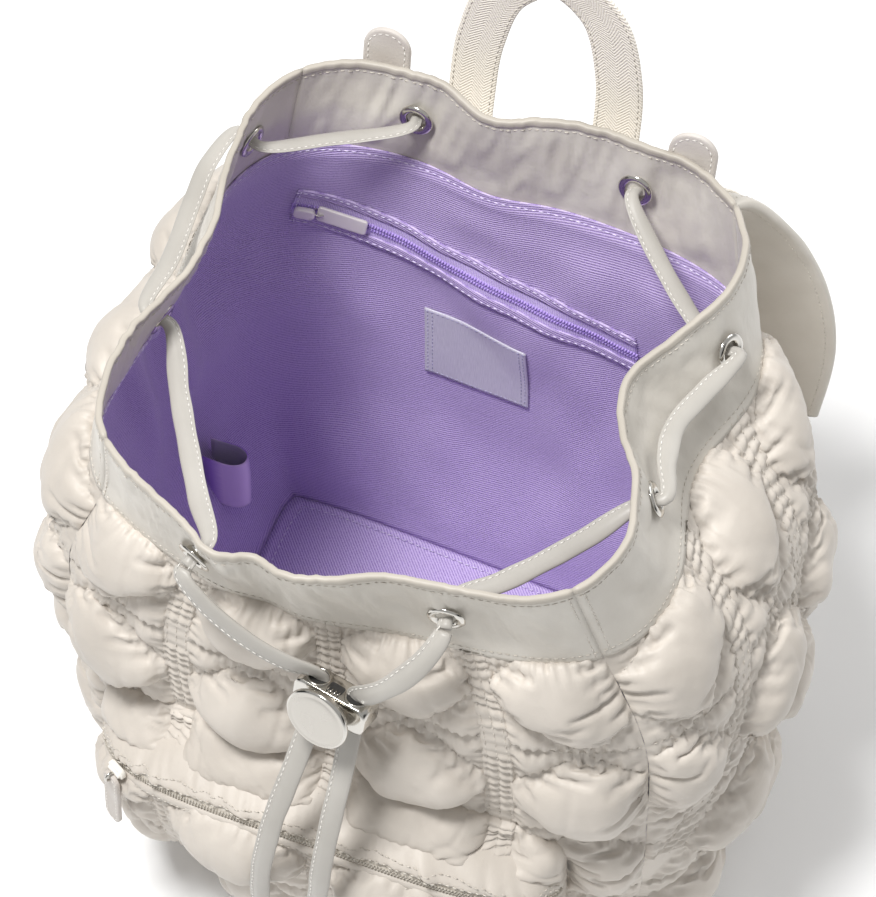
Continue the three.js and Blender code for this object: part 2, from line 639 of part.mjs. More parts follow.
const STRAP = { width: 46, taper: 5.5, thickness: 4, crown: 2, count: 18, seat: 0.64, seatHeight: 240 };
const STRAP_ROUTE = [
  { out: 60, behind: 5, height: 244 },
  { out: 62, behind: 12, height: 253 },
  { out: 68, behind: 22, height: 250 },
  { out: 81, behind: 33, height: 226 },
  { out: 94, behind: 40, height: 190 },
  { out: 104, behind: 38, height: 150 },
  { out: 105, behind: 30, height: 110 },
];
const STRAP_TAB = { width: 20, height: 60, thickness: 2.4, lean: 0.17, low: 243, seatGap: 0.6 };
const STRAP_WEBBING = { width: 20, thickness: 1.8, count: 10, place: 0.72, height: 20, lift: 1.9, sag: 5 };
const ADJUSTER = { width: 30, height: 22, thickness: 3.5, corner: 3, slot: 4, set: 3, lean: 0.25, end: 0.8 };

function strapSide(sign, side) {
  const place = -sign * STRAP.seat;
  const seatPuff = puff('back', place, STRAP.seatHeight);
  const seat = surfacePoint('back', place, STRAP.seatHeight, SHELL + seatPuff + 1);
  const at = ({ out, behind, height }) => new THREE.Vector3(
    sectionAt(height).shift + sign * out, seat.y + STRAP_TAB.thickness + behind, height,
  );
  const route = STRAP_ROUTE.map(at);
  add(`shoulder_strap_${side}`, strip(route, { ...STRAP, sideHint: ACROSS }), NYLON);

  const tabShape = plate(STRAP_TAB.width, STRAP_TAB.height, STRAP_TAB.thickness, STRAP_TAB.width / 2 - 0.1);
  const tab = add(`strap_tab_${side}`, tabShape, LEATHER);
  const half = STRAP_TAB.height / 2;
  const tabBehind = STRAP_TAB.seatGap + STRAP_TAB.thickness / 2 + half * Math.sin(STRAP_TAB.lean);
  tab.position.set(seat.x, seat.y + tabBehind, STRAP_TAB.low + half * Math.cos(STRAP_TAB.lean));
  tab.rotation.x = -STRAP_TAB.lean;

  const end = route[route.length - 1];
  const slots = [-1, 1].map((row) => roundedShape(ADJUSTER.width - 8, ADJUSTER.slot, 1, row * 5));
  const buckle = plate(ADJUSTER.width, ADJUSTER.height, ADJUSTER.thickness, ADJUSTER.corner, slots);
  const adjuster = add(`strap_adjuster_${side}`, buckle, NICKEL);
  adjuster.position.set(end.x, end.y - ADJUSTER.set, end.z - ADJUSTER.height / 2 - 2 * GAP);
  adjuster.rotation.x = -ADJUSTER.lean;
  adjuster.updateMatrixWorld();

  const { place: footPlace, height: footHeight, lift, sag } = STRAP_WEBBING;
  const footPuff = puff('back', -sign * footPlace, footHeight);
  const foot = surfacePoint('back', -sign * footPlace, footHeight, SHELL + footPuff + lift);
  const below = (drop) => adjuster.localToWorld(new THREE.Vector3(0, 0, -ADJUSTER.height / 2 - drop));
  const buckleEnd = below(ADJUSTER.end);
  const middle = buckleEnd.clone().lerp(foot, 0.55).add(new THREE.Vector3(0, sag, -sag));
  const webbingPath = [buckleEnd, below(10), middle, foot];
  add(`strap_webbing_${side}`, strip(webbingPath, { ...STRAP_WEBBING, sideHint: ACROSS }), WEBBING);
}

strapSide(-1, 'left');
strapSide(1, 'right');

export default backpack;
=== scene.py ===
# Looks of a ruched nylon drawstring backpack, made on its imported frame.
# Shapes are worked out in millimetres and turned to metres when a mesh is made.
import math
from collections import namedtuple

import bmesh
import bpy
import numpy as np
from mathutils import Matrix, Vector


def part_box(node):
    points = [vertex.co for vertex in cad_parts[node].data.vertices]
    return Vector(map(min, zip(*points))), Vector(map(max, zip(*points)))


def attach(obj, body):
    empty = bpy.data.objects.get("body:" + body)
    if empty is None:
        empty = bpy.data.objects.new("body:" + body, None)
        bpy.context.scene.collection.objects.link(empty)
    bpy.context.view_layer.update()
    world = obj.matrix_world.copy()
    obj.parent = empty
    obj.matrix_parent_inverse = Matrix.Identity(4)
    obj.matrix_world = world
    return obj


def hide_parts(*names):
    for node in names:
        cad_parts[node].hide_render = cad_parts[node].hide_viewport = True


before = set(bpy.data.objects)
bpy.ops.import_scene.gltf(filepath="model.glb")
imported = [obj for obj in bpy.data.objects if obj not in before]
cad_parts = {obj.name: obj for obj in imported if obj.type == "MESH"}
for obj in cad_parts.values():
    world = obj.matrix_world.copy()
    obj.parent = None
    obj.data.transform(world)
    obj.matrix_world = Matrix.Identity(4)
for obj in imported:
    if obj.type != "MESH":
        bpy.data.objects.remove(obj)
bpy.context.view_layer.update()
scene = bpy.context.scene
MM = 0.001
BAG = "bag"
BUTTON = "button"

# Camera at the photograph's angle

CAMERA = {
    "target": (15, -52, 292), "azimuth": 21, "elevation": 56, "distance": 1200,
    "lens": 130, "sensor": 36, "clip_m": (0.05, 20),
}


def place_camera():
    azimuth = math.radians(CAMERA["azimuth"])
    elevation = math.radians(CAMERA["elevation"])
    level = math.cos(elevation)
    back = Vector((math.sin(azimuth) * level, -math.cos(azimuth) * level, math.sin(elevation)))
    data = bpy.data.cameras.new("photo_camera")
    data.lens = CAMERA["lens"]
    data.sensor_width = CAMERA["sensor"]
    data.clip_start, data.clip_end = CAMERA["clip_m"]
    camera = bpy.data.objects.new("photo_camera", data)
    camera.location = (Vector(CAMERA["target"]) + back * CAMERA["distance"]) * MM
    camera.rotation_euler = (-back).to_track_quat("-Z", "Y").to_euler()
    scene.collection.objects.link(camera)
    scene.camera = camera


place_camera()

# Shape of the bag, as in the part's own source

SECTION_COLUMNS = ("height", "half_width", "front", "back", "squareness", "shift")
SECTIONS = np.array([
    (0, 118, 78, 82, 4.5, 0),
    (14, 130, 90, 86, 4.2, 0),
    (70, 142, 108, 90, 3.8, 0),
    (140, 147, 114, 96, 3.6, -2),
    (200, 145, 112, 103, 3.6, -5),
    (245, 120, 102, 107, 4.0, -8),
    (292, 106, 106, 114, 4.6, -10),
])
# panel, place along it, inward, width, lift
RIM_FOLDS = (
    ("right", 0, 27, 0.55, 0),
    ("back", 0.15, 8, 0.22, -5),
    ("front", -0.35, -24, 0.5, 0),
    ("front", -0.25, 10, 0.13, -3),
    ("left", -0.1, 13, 0.65, 0),
)
OUTWARD = {"front": (0, -1), "right": (1, 0), "back": (0, 1), "left": (-1, 0)}
PANELS = tuple(OUTWARD)
FOLD_START = 200
COLLAR_SEAM = 245
RIM = 292
BACK_SKEW = 0.0008
RIM_SKEW_LOSS = 0.75
LEVEL_EDGE = (4.3, 30)
WIDEST = 140.0
MOUTH_MIDDLE = (-8, 0, 0)
SLOPE_STEPS = (0.002, 0.5)


def smoothstep(value, low, high):
    x = np.clip((value - low) / (high - low), 0, 1)
    return x * x * (3 - 2 * x)


def section_at(height):
    levels = SECTIONS[:, 0]
    z = np.clip(height, levels[0], levels[-1])
    last = len(levels) - 1
    i = np.clip(np.searchsorted(levels, z) - 1, 0, last - 1)
    above = np.minimum(np.arange(last + 1) + 1, last)
    below = np.maximum(np.arange(last + 1) - 1, 0)
    slopes = (SECTIONS[above] - SECTIONS[below]) / (levels[above] - levels[below])[:, None]
    span = (levels[i + 1] - levels[i])[..., None]
    u = ((z - levels[i])[..., None]) / span
    rows = ((1 + 2 * u) * (1 - u) ** 2 * SECTIONS[i] + u * (1 - u) ** 2 * span * slopes[i]
            + u * u * (3 - 2 * u) * SECTIONS[i + 1] + u * u * (u - 1) * span * slopes[i + 1])
    return {name: rows[..., k] for k, name in enumerate(SECTION_COLUMNS)}


def seam_surface(panel, t, height):
    t, height = np.broadcast_arrays(np.asarray(t, float), np.asarray(height, float))
    row = section_at(height)
    n = row["squareness"]
    corner = 0.5 ** (1 / n)
    crown = (1 - 0.5 * np.abs(t) ** n) ** (1 / n)
    if panel == "front":
        x, y = row["half_width"] * corner * t, -row["front"] * crown
    elif panel == "back":
        x, y = -row["half_width"] * corner * t, row["back"] * crown
    elif panel == "right":
        x, y = row["half_width"] * crown, np.where(t < 0, row["front"], row["back"]) * corner * t
    else:
        x, y = -row["half_width"] * crown, -np.where(t > 0, row["front"], row["back"]) * corner * t
    share = smoothstep(height, FOLD_START, RIM)
    z = height.copy()
    for fold_panel, place, inward, width, lift in RIM_FOLDS:
        if fold_panel == panel:
            weight = np.exp(-((t - place) / width) ** 2) * share * (1 - t * t) ** 2
            x = x - OUTWARD[panel][0] * inward * weight
            y = y - OUTWARD[panel][1] * inward * weight
            z = z + lift * weight
    y = np.where(y > 0, y * (1 - BACK_SKEW * (1 - RIM_SKEW_LOSS * share) * x), y)
    return np.stack([x + row["shift"], y, z], -1)


def unit(v):
    return v / np.maximum(np.linalg.norm(v, axis=-1, keepdims=True), 1e-9)


def surface_normal(panel, t, height):
    dt, dz = SLOPE_STEPS
    across = seam_surface(panel, t + dt, height) - seam_surface(panel, t - dt, height)
    up = seam_surface(panel, t, height + dz) - seam_surface(panel, t, height - dz)
    normal = unit(np.cross(across, up))
    normal[..., 2] *= smoothstep(height, *LEVEL_EDGE)
    return unit(normal)


def surface(panel, t, height, offset):
    """Points at an offset from a panel's seam surface; t runs from -1 to 1 along the panel."""
    t, height = np.broadcast_arrays(np.asarray(t, float), np.asarray(height, float))
    offset = np.broadcast_to(np.asarray(offset, float), t.shape)
    return seam_surface(panel, t, height) + surface_normal(panel, t, height) * offset[..., None]


def panel_reach(panel):
    """Half a panel's length along the bag, where the bag is widest."""
    row = section_at(np.array(WIDEST))
    corner = 0.5 ** (1 / row["squareness"])
    half = row["half_width"] if panel in ("front", "back") else (row["front"] + row["back"]) / 2
    return float(half * corner)


def ripple(points, wavelength, seed, waves=14):
    """Smooth noise between about -1 and 1, as a sum of plane waves of about one wavelength."""
    rng = np.random.default_rng(seed)
    points = np.asarray(points, float)
    total = np.zeros(points.shape[:-1])
    for _ in range(waves):
        direction = rng.normal(size=points.shape[-1])
        direction /= np.linalg.norm(direction)
        length = wavelength * rng.uniform(0.7, 1.5)
        total += np.sin(points @ direction * (2 * math.pi / length) + rng.uniform(0, 2 * math.pi))
    return total / math.sqrt(waves)


# Meshes

def new_piece(mesh, finish, replaces=(), body=BAG):
    """A piece named as its mesh is, which rides a body and may replace nodes of the CAD."""
    piece = bpy.data.objects.new(mesh.name, mesh)
    scene.collection.objects.link(piece)
    if finish is not None:
        mesh.materials.append(finish)
    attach(piece, body)
    if replaces:
        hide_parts(*replaces)
    return piece


def two_finishes(mesh, main, other, on_other):
    """Gives a mesh two finishes; on_other holds 1 for each face that has the second one."""
    mesh.materials.append(main)
    mesh.materials.append(other)
    mesh.polygons.foreach_set("material_index", np.asarray(on_other, dtype=np.int32))


def make_mesh(name, points, faces, uv=None):
    mesh = bpy.data.meshes.new(name)
    mesh.from_pydata((np.asarray(points).reshape(-1, 3) * MM).tolist(), [], faces)
    if uv is not None:
        layer = mesh.uv_layers.new(name="cloth")
        corner_vertex = np.empty(len(mesh.loops), dtype=np.int32)
        mesh.loops.foreach_get("vertex_index", corner_vertex)
        layer.data.foreach_set("uv", np.asarray(uv, float).reshape(-1, 2)[corner_vertex].ravel())
    mesh.polygons.foreach_set("use_smooth", [True] * len(mesh.polygons))
    mesh.update()
    return mesh


def grid_faces(rows, columns, ring=False, start=0):
    spans = columns if ring else columns - 1
    row, column = np.meshgrid(np.arange(rows - 1), np.arange(spans), indexing="ij")
    right = (column + 1) % columns
    quads = np.stack([row * columns + column, row * columns + right,
                      (row + 1) * columns + right, (row + 1) * columns + column], -1)
    return (quads.reshape(-1, 4) + start).tolist()


def wall_mesh(name, outer, inner, uv=None, ring=False):
    """A closed wall between two grids of points with the same rows and columns."""
    rows, columns = outer.shape[:2]
    count = rows * columns
    faces = grid_faces(rows, columns, ring)
    faces += [[a, d, c, b] for a, b, c, d in grid_faces(rows, columns, ring, count)]
    spans = columns if ring else columns - 1
    for i in range(spans):
        j = (i + 1) % columns
        top = (rows - 1) * columns
        faces.append([count + i, count + j, j, i])
        faces.append([top + i, top + j, count + top + j, count + top + i])
    if not ring:
        for r in range(rows - 1):
            low, high = r * columns, (r + 1) * columns
            faces.append([count + low, low, high, count + high])
            end = columns - 1
            faces.append([low + end, count + low + end, count + high + end, high + end])
    points = np.concatenate([outer.reshape(-1, 3), inner.reshape(-1, 3)])
    both = None if uv is None else np.concatenate([uv.reshape(-1, 2), uv.reshape(-1, 2)])
    return make_mesh(name, points, faces, both)


def tube_faces(rows, columns):
    """Faces of a tube of rings with both ends closed."""
    last = (rows - 1) * columns
    ends = [list(range(columns))[::-1], [last + i for i in range(columns)]]
    return grid_faces(rows, columns, True) + ends


def turned_rings(profile, segments):
    """Rings of points round the Z axis; profile rows are radius and height."""
    turn = np.linspace(0, 2 * math.pi, segments, endpoint=False)
    return np.stack([
        np.outer(profile[:, 0], np.cos(turn)),
        np.outer(profile[:, 0], np.sin(turn)),
        np.repeat(profile[:, 1:2], segments, 1),
    ], -1)


def lathe_mesh(name, profile, segments, place):
    """A turned ring whose profile closes on itself."""
    profile = np.asarray(profile, float)
    count = len(profile)
    faces = [[(v // segments) % count * segments + v % segments for v in quad]
             for quad in grid_faces(count + 1, segments, True)]
    return turned_out(make_mesh(name, moved(turned_rings(profile, segments), place), faces))


def moved(points, place):
    matrix = np.array(place)
    return np.asarray(points) @ matrix[:3, :3].T + matrix[:3, 3]


def frame_from(origin, x_axis, z_axis):
    """A placing matrix with its Z along z_axis and its X as near x_axis as it can be."""
    z = Vector(z_axis).normalized()
    x = Vector(x_axis)
    x = (x - z * x.dot(z)).normalized()
    y = z.cross(x)
    matrix = Matrix((x, y, z)).transposed().to_4x4()
    matrix.translation = Vector(origin)
    return matrix


# Materials

def add_node(tree, kind, values=None, wires=None, **settings):
    """A new node with its settings, whose inputs are fixed values or wires from other nodes."""
    node = tree.nodes.new(kind)
    for name, value in settings.items():
        setattr(node, name, value)
    for name, value in (values or {}).items():
        node.inputs[name].default_value = value
    for name, source in (wires or {}).items():
        tree.links.new(source, node.inputs[name])
    return node


def sum_of(tree, operation, *terms):
    """One sum on numbers or on the values of other nodes."""
    node = add_node(tree, "ShaderNodeMath", operation=operation)
    for place, term in zip(node.inputs, terms):
        if isinstance(term, (int, float)):
            place.default_value = term
        else:
            tree.links.new(term, place)
    return node.outputs[0]


def new_material(name):
    made = bpy.data.materials.new(name)
    made.use_nodes = True
    return made, made.node_tree


def finished(made, wires, values):
    """Joins the wires to the material's shader and sets its other inputs."""
    shader = made.node_tree.nodes["Principled BSDF"]
    for name, source in wires.items():
        made.node_tree.links.new(source, shader.inputs[name])
    for name, value in values.items():
        shader.inputs[name].default_value = value
    return made


def coordinates(tree, kind):
    return add_node(tree, "ShaderNodeTexCoord").outputs[kind]


def noise(tree, where, scale, detail=3, roughness=0.5):
    values = {"Scale": scale, "Detail": detail, "Roughness": roughness}
    return add_node(tree, "ShaderNodeTexNoise", values, {"Vector": where}).outputs["Fac"]


def ribs(tree, where, period, direction, values=None):
    """Waves with a period in the units of the map that they run on."""
    values = {"Scale": math.pi / 10 / period, **(values or {})}
    wave = add_node(tree, "ShaderNodeTexWave", values, {"Vector": where}, bands_direction=direction)
    return wave.outputs["Fac"]


def two_tone(tree, factor, dark, light, low=0.3, high=0.7):
    ramp = add_node(tree, "ShaderNodeValToRGB", wires={"Fac": factor})
    for stop, position, colour in zip(ramp.color_ramp.elements, (low, high), (dark, light)):
        stop.position = position
        stop.color = (*colour, 1)
    return ramp.outputs["Color"]


def bump(tree, height, strength, distance, base=None):
    wires = {"Height": height}
    if base is not None:
        wires["Normal"] = base
    values = {"Strength": strength, "Distance": distance}
    return add_node(tree, "ShaderNodeBump", values, wires).outputs["Normal"]


def srgb(red, green, blue):
    def linear(value):
        c = value / 255
        return c / 12.92 if c <= 0.04045 else ((c + 0.055) / 1.055) ** 2.4
    return tuple(linear(v) for v in (red, green, blue))


def nylon_material(name, dark, light, crinkle=0.25, roughness=0.5):
    """Nylon: soft creases over a very fine grain."""
    made, tree = new_material(name)
    where = coordinates(tree, "Object")
    tone = two_tone(tree, noise(tree, where, 28, 4), dark, light)
    grain = bump(tree, noise(tree, where, 2600, 1), 0.06, 0.0003)
    creased = bump(tree, noise(tree, where, 160, 5, 0.55), crinkle, 0.0012, grain)
    return finished(made, {"Base Color": tone, "Normal": creased}, {
        "Roughness": roughness, "Sheen Weight": 0.12, "Sheen Roughness": 0.4, "Specular IOR Level": 0.4,
    })


def twill_material(name, dark, light, period, turn, strength=0.6):
    """Twill: fine ribs that run across the cloth's own UV map, in millimetres."""
    made, tree = new_material(name)
    turned = add_node(tree, "ShaderNodeMapping", {"Rotation": (0, 0, turn)},
                      {"Vector": coordinates(tree, "UV")})
    where = turned.outputs["Vector"]
    rib = ribs(tree, where, period, "Y", {"Distortion": 0.7, "Detail": 2, "Detail Scale": 2.5})
    weave = sum_of(tree, "MULTIPLY_ADD", rib, 0.6, noise(tree, where, 1.4, 2))
    tone = two_tone(tree, weave, dark, light, 0.35, 1.15)
    raised = bump(tree, weave, strength, 0.0004)
    return finished(made, {"Base Color": tone, "Normal": raised},
                    {"Roughness": 0.62, "Sheen Weight": 0.35, "Sheen Roughness": 0.35})


def webbing_material(name, dark, light, half_zigzag=5.0, rib_period=1.5):
    """Herringbone webbing on a UV map in millimetres: U across the band, V along it."""
    made, tree = new_material(name)
    where = coordinates(tree, "UV")
    split = add_node(tree, "ShaderNodeSeparateXYZ", wires={0: where})
    fold = sum_of(tree, "PINGPONG", split.outputs["X"], half_zigzag)
    slant = sum_of(tree, "ADD", fold, split.outputs["Y"])
    slanted = add_node(tree, "ShaderNodeCombineXYZ", wires={"X": slant})
    rib = ribs(tree, slanted.outputs[0], rib_period, "X")
    weave = sum_of(tree, "MULTIPLY_ADD", rib, 0.7, noise(tree, where, 1.1, 3))
    tone = two_tone(tree, weave, dark, light, 0.3, 1.0)
    return finished(made, {"Base Color": tone, "Normal": bump(tree, weave, 0.5, 0.0006)},
                    {"Roughness": 0.8, "Sheen Weight": 0.25})


def metal_material(name, colour, roughness, metallic=1.0):
    """Metal or lacquered metal, with a faint unevenness in its tone and polish."""
    made, tree = new_material(name)
    worn = noise(tree, coordinates(tree, "Object"), 90, 1)
    tone = two_tone(tree, worn, tuple(0.975 * c for c in colour), colour)
    polish = {"To Min": roughness * 0.9, "To Max": roughness * 1.15}
    wear = add_node(tree, "ShaderNodeMapRange", polish, {"Value": worn})
    return finished(made, {"Base Color": tone, "Roughness": wear.outputs["Result"]}, {"Metallic": metallic})


def leather_material(name, dark, light):
    made, tree = new_material(name)
    where = coordinates(tree, "Object")
    tone = two_tone(tree, noise(tree, where, 60, 4), dark, light)
    grain = add_node(tree, "ShaderNodeTexVoronoi", {"Scale": 1300}, {"Vector": where}).outputs["Distance"]
    raised = bump(tree, grain, 0.25, 0.0003)
    return finished(made, {"Base Color": tone, "Normal": raised}, {"Roughness": 0.55})


def thread_material(name, dark, light):
    made, tree = new_material(name)
    tone = two_tone(tree, noise(tree, coordinates(tree, "Object"), 900, 2), dark, light)
    return finished(made, {"Base Color": tone}, {"Roughness": 0.6, "Sheen Weight": 0.2})


def satin_material(name, dark, light, band=0.0):
    """Satin ribbon: a close smooth weave on a UV map in millimetres, with a painted sheen: light stripes
    along the ribbon mixed into its base colour by band.
    """
    made, tree = new_material(name)
    where = coordinates(tree, "UV")
    drawn_out = add_node(tree, "ShaderNodeMapping", {"Scale": (2.2, 0.12, 1)}, {"Vector": where})
    yarn = noise(tree, drawn_out.outputs["Vector"], 1.6, 2)
    # painted sheen: light stripes along the ribbon that stand in for the satin's highlight
    sheen = ribs(tree, where, 34, "Y", {"Phase Offset": 0.3})
    mixed = add_node(tree, "ShaderNodeMix", {"Factor": band}, {"A": yarn, "B": sheen})
    tone = two_tone(tree, mixed.outputs["Result"], dark, light)
    return finished(made, {"Base Color": tone, "Normal": bump(tree, yarn, 0.15, 0.0003)},
                    {"Roughness": 0.3, "Specular IOR Level": 0.7, "Sheen Weight": 0.3})


NYLON = nylon_material("ruched_nylon", srgb(196, 188, 178), srgb(210, 202, 192))
COLLAR_NYLON = nylon_material("collar_nylon", srgb(202, 196, 186), srgb(214, 209, 200), 0.26, 0.42)
# The bound rim's nylon is a darker copy of the collar's: painted shade for the fold and groove of its rolled
# edge.
RIM_NYLON_SHADED = nylon_material("rim_nylon_shaded", srgb(176, 169, 158), srgb(189, 182, 171), 0.2, 0.45)
CORD_NYLON = nylon_material("cord_nylon", srgb(172, 168, 161), srgb(186, 182, 175), 0.12, 0.4)
LINING = twill_material("lining_twill", srgb(150, 124, 190), srgb(214, 197, 235), 1.2, 0.12, 0.75)
FLOOR_LINING = twill_material("floor_twill", srgb(152, 126, 192), srgb(213, 196, 234), 1.2, math.radians(50))
ZIP_TAPE = twill_material("zip_tape_weave", srgb(186, 160, 230), srgb(230, 216, 253), 0.8, math.pi / 2, 0.4)
# The care loop's satin has its painted sheen stripes mixed in strongly.
SATIN = satin_material("loop_satin", srgb(164, 124, 212), srgb(240, 220, 252), 0.8)
LABEL = satin_material("label_satin", srgb(196, 193, 206), srgb(215, 213, 222))
WEBBING = webbing_material("cream_webbing", srgb(232, 222, 206), srgb(252, 246, 235))
LEATHER = leather_material("tab_leather", srgb(198, 190, 182), srgb(212, 206, 200))
NICKEL = metal_material("polished_nickel", srgb(208, 205, 199), 0.13)
THREAD = thread_material("beige_thread", srgb(188, 180, 168), srgb(222, 216, 206))
WHITE_THREAD = thread_material("pale_thread", srgb(226, 222, 214), srgb(244, 241, 236))
LILAC_THREAD = thread_material("lilac_thread", srgb(222, 208, 246), srgb(244, 238, 253))
LABEL_THREAD = thread_material("label_thread", srgb(150, 147, 178), srgb(184, 181, 206))
ZIP_LILAC = thread_material("zip_lilac", srgb(172, 142, 224), srgb(206, 184, 244))
ZIP_BEIGE = thread_material("zip_beige", srgb(182, 174, 161), srgb(205, 198, 186))
DISC = metal_material("brushed_disc", srgb(200, 196, 189), 0.27)
PULL = metal_material("satin_pull", srgb(250, 246, 238), 0.28, 0.15)
# Near-black inlays painted as the shade inside the lock's cord holes and window.
LOCK_SHADE = thread_material("lock_shadow", srgb(26, 25, 24), srgb(44, 42, 40))

# Stitches and zip teeth: one tree of nodes that sets small rounded bars along paths

BAR_INPUTS = ("Pitch", "Length", "Width", "Height", "Turn", "Jitter")
BAR_SEED = 11
BEAD = {"Segments": 6, "Rings": 2, "Radius": 0.57}
STITCH_JITTER = 0.06
Bar = namedtuple("Bar", "finish slot pitch length width height turn jitter", defaults=(0.0, STITCH_JITTER))
BARS = {
    "cord": Bar(WHITE_THREAD, "cord", 2.9, 2.1, 0.5, 0.4),
    "seam": Bar(THREAD, "nylon", 3.3, 2.2, 0.5, 0.45),
    "strip": Bar(THREAD, "nylon", 3.1, 2.2, 0.45, 0.4),
    "collar": Bar(THREAD, "collar", 3.0, 2.2, 0.5, 0.4),
    "hem": Bar(LILAC_THREAD, "lining", 3.2, 2.4, 0.6, 0.5),
    "floor": Bar(LILAC_THREAD, "lining", 3.6, 2.6, 0.6, 0.45),
    "inner_zip": Bar(LILAC_THREAD, "lining", 3.1, 2.3, 0.6, 0.5),
    "inner_teeth": Bar(ZIP_LILAC, "lining", 1.3, 2.5, 1.0, 1.5, math.radians(80), 0.03),
    "label": Bar(LABEL_THREAD, "label", 2.3, 1.7, 0.45, 0.4),
    "spring": Bar(NICKEL, "nickel", 1.2, 3.4, 0.7, 0.7, math.pi / 2, 0),
    "pocket": Bar(THREAD, "nylon", 3.1, 2.2, 0.55, 0.5),
    "pocket_teeth": Bar(ZIP_BEIGE, "zip_tape", 1.35, 2.1, 0.85, 1.0, math.radians(78), 0.03),
    "pull": Bar(WHITE_THREAD, "leather", 2.6, 1.9, 0.4, 0.35),
    "tab": Bar(WHITE_THREAD, "leather", 3.0, 2.1, 0.5, 0.35),
    "handle": Bar(THREAD, "webbing", 3.0, 2.2, 0.55, 0.4),
    "strap": Bar(THREAD, "nylon", 3.2, 2.3, 0.5, 0.4),
    "ribbon": Bar(WHITE_THREAD, "webbing", 3.4, 2.4, 0.5, 0.4),
}


def bar_tree():
    tree = bpy.data.node_groups.new("bars_along_paths", "GeometryNodeTree")
    sockets = [("Geometry", "INPUT", "Geometry")]
    sockets += [(name, "INPUT", "Float") for name in BAR_INPUTS]
    sockets += [("Finish", "INPUT", "Material"), ("Geometry", "OUTPUT", "Geometry")]
    for name, way, kind in sockets:
        tree.interface.new_socket(name, in_out=way, socket_type="NodeSocket" + kind)
    given = add_node(tree, "NodeGroupInput")
    path = add_node(tree, "GeometryNodeMeshToCurve", wires={"Mesh": given.outputs["Geometry"]})
    spaced = add_node(tree, "GeometryNodeResampleCurve", mode="LENGTH", wires={
        "Curve": path.outputs["Curve"], "Length": given.outputs["Pitch"],
    })
    out = add_node(tree, "GeometryNodeInputNamedAttribute", {"Name": "out"}, data_type="FLOAT_VECTOR")
    along = add_node(tree, "GeometryNodeInputTangent")
    facing = add_node(tree, "FunctionNodeAxesToRotation", primary_axis="Z", secondary_axis="X", wires={
        "Primary Axis": out.outputs["Attribute"], "Secondary Axis": along.outputs["Tangent"],
    })
    low = sum_of(tree, "MULTIPLY", given.outputs["Jitter"], -1)
    jitter = add_node(tree, "FunctionNodeRandomValue", {"Seed": BAR_SEED}, data_type="FLOAT", wires={
        2: low, 3: given.outputs["Jitter"],
    })
    swing = sum_of(tree, "ADD", jitter.outputs[1], given.outputs["Turn"])
    yaw = add_node(tree, "ShaderNodeCombineXYZ", wires={"Z": swing})
    turned = add_node(tree, "FunctionNodeRotateRotation", rotation_space="LOCAL", wires={
        "Rotation": facing.outputs["Rotation"], "Rotate By": yaw.outputs[0],
    })
    bead = add_node(tree, "GeometryNodeMeshUVSphere", BEAD)
    size = add_node(tree, "ShaderNodeCombineXYZ", wires={
        "X": given.outputs["Length"], "Y": given.outputs["Width"], "Z": given.outputs["Height"],
    })
    beads = add_node(tree, "GeometryNodeInstanceOnPoints", wires={
        "Points": spaced.outputs["Curve"], "Instance": bead.outputs["Mesh"],
        "Rotation": turned.outputs["Rotation"], "Scale": size.outputs[0],
    })
    realize = add_node(tree, "GeometryNodeRealizeInstances", wires={"Geometry": beads.outputs["Instances"]})
    smooth = add_node(tree, "GeometryNodeSetShadeSmooth", wires={"Geometry": realize.outputs["Geometry"]})
    finish = add_node(tree, "GeometryNodeSetMaterial", wires={
        "Geometry": smooth.outputs["Geometry"], "Material": given.outputs["Finish"],
    })
    add_node(tree, "NodeGroupOutput", wires={"Geometry": finish.outputs["Geometry"]})
    return tree


BAR_TREE = bar_tree()


def baked(obj):
    """The evaluated object as a plain mesh."""
    bpy.context.view_layer.update()
    graph = bpy.context.evaluated_depsgraph_get()
    return bpy.data.meshes.new_from_object(obj.evaluated_get(graph))


def bars(name, rows, kind):
    """Small bars along rows of points, each row a pair of points and outward directions."""
    bar = BARS[kind]
    points = np.concatenate([p for p, _ in rows])
    outs = np.concatenate([np.broadcast_to(o, p.shape) for p, o in rows])
    edges, start = [], 0
    for p, _ in rows:
        edges += [(start + i, start + i + 1) for i in range(len(p) - 1)]
        start += len(p)
    mesh = bpy.data.meshes.new(name + "_path")
    mesh.from_pydata((points * MM).tolist(), edges, [])
    attribute = mesh.attributes.new("out", "FLOAT_VECTOR", "POINT")
    attribute.data.foreach_set("vector", np.ascontiguousarray(outs, dtype=np.float32).ravel())
    path = bpy.data.objects.new(name + "_path", mesh)
    scene.collection.objects.link(path)
    modifier = path.modifiers.new("bars", "NODES")
    modifier.node_group = BAR_TREE
    values = {
        "Pitch": bar.pitch * MM, "Length": bar.length * MM, "Width": bar.width * MM,
        "Height": bar.height * MM, "Turn": bar.turn, "Jitter": bar.jitter, "Finish": bar.finish,
    }
    for item in BAR_TREE.interface.items_tree:
        if item.in_out == "INPUT" and item.name in values:
            modifier[item.identifier] = values[item.name]
    result = baked(path)
    result.name = name
    bpy.data.objects.remove(path)
    return new_piece(result, None)


# Drawstring: a flat cord woven through the eyelets, whose two ends pass through the lock and hang

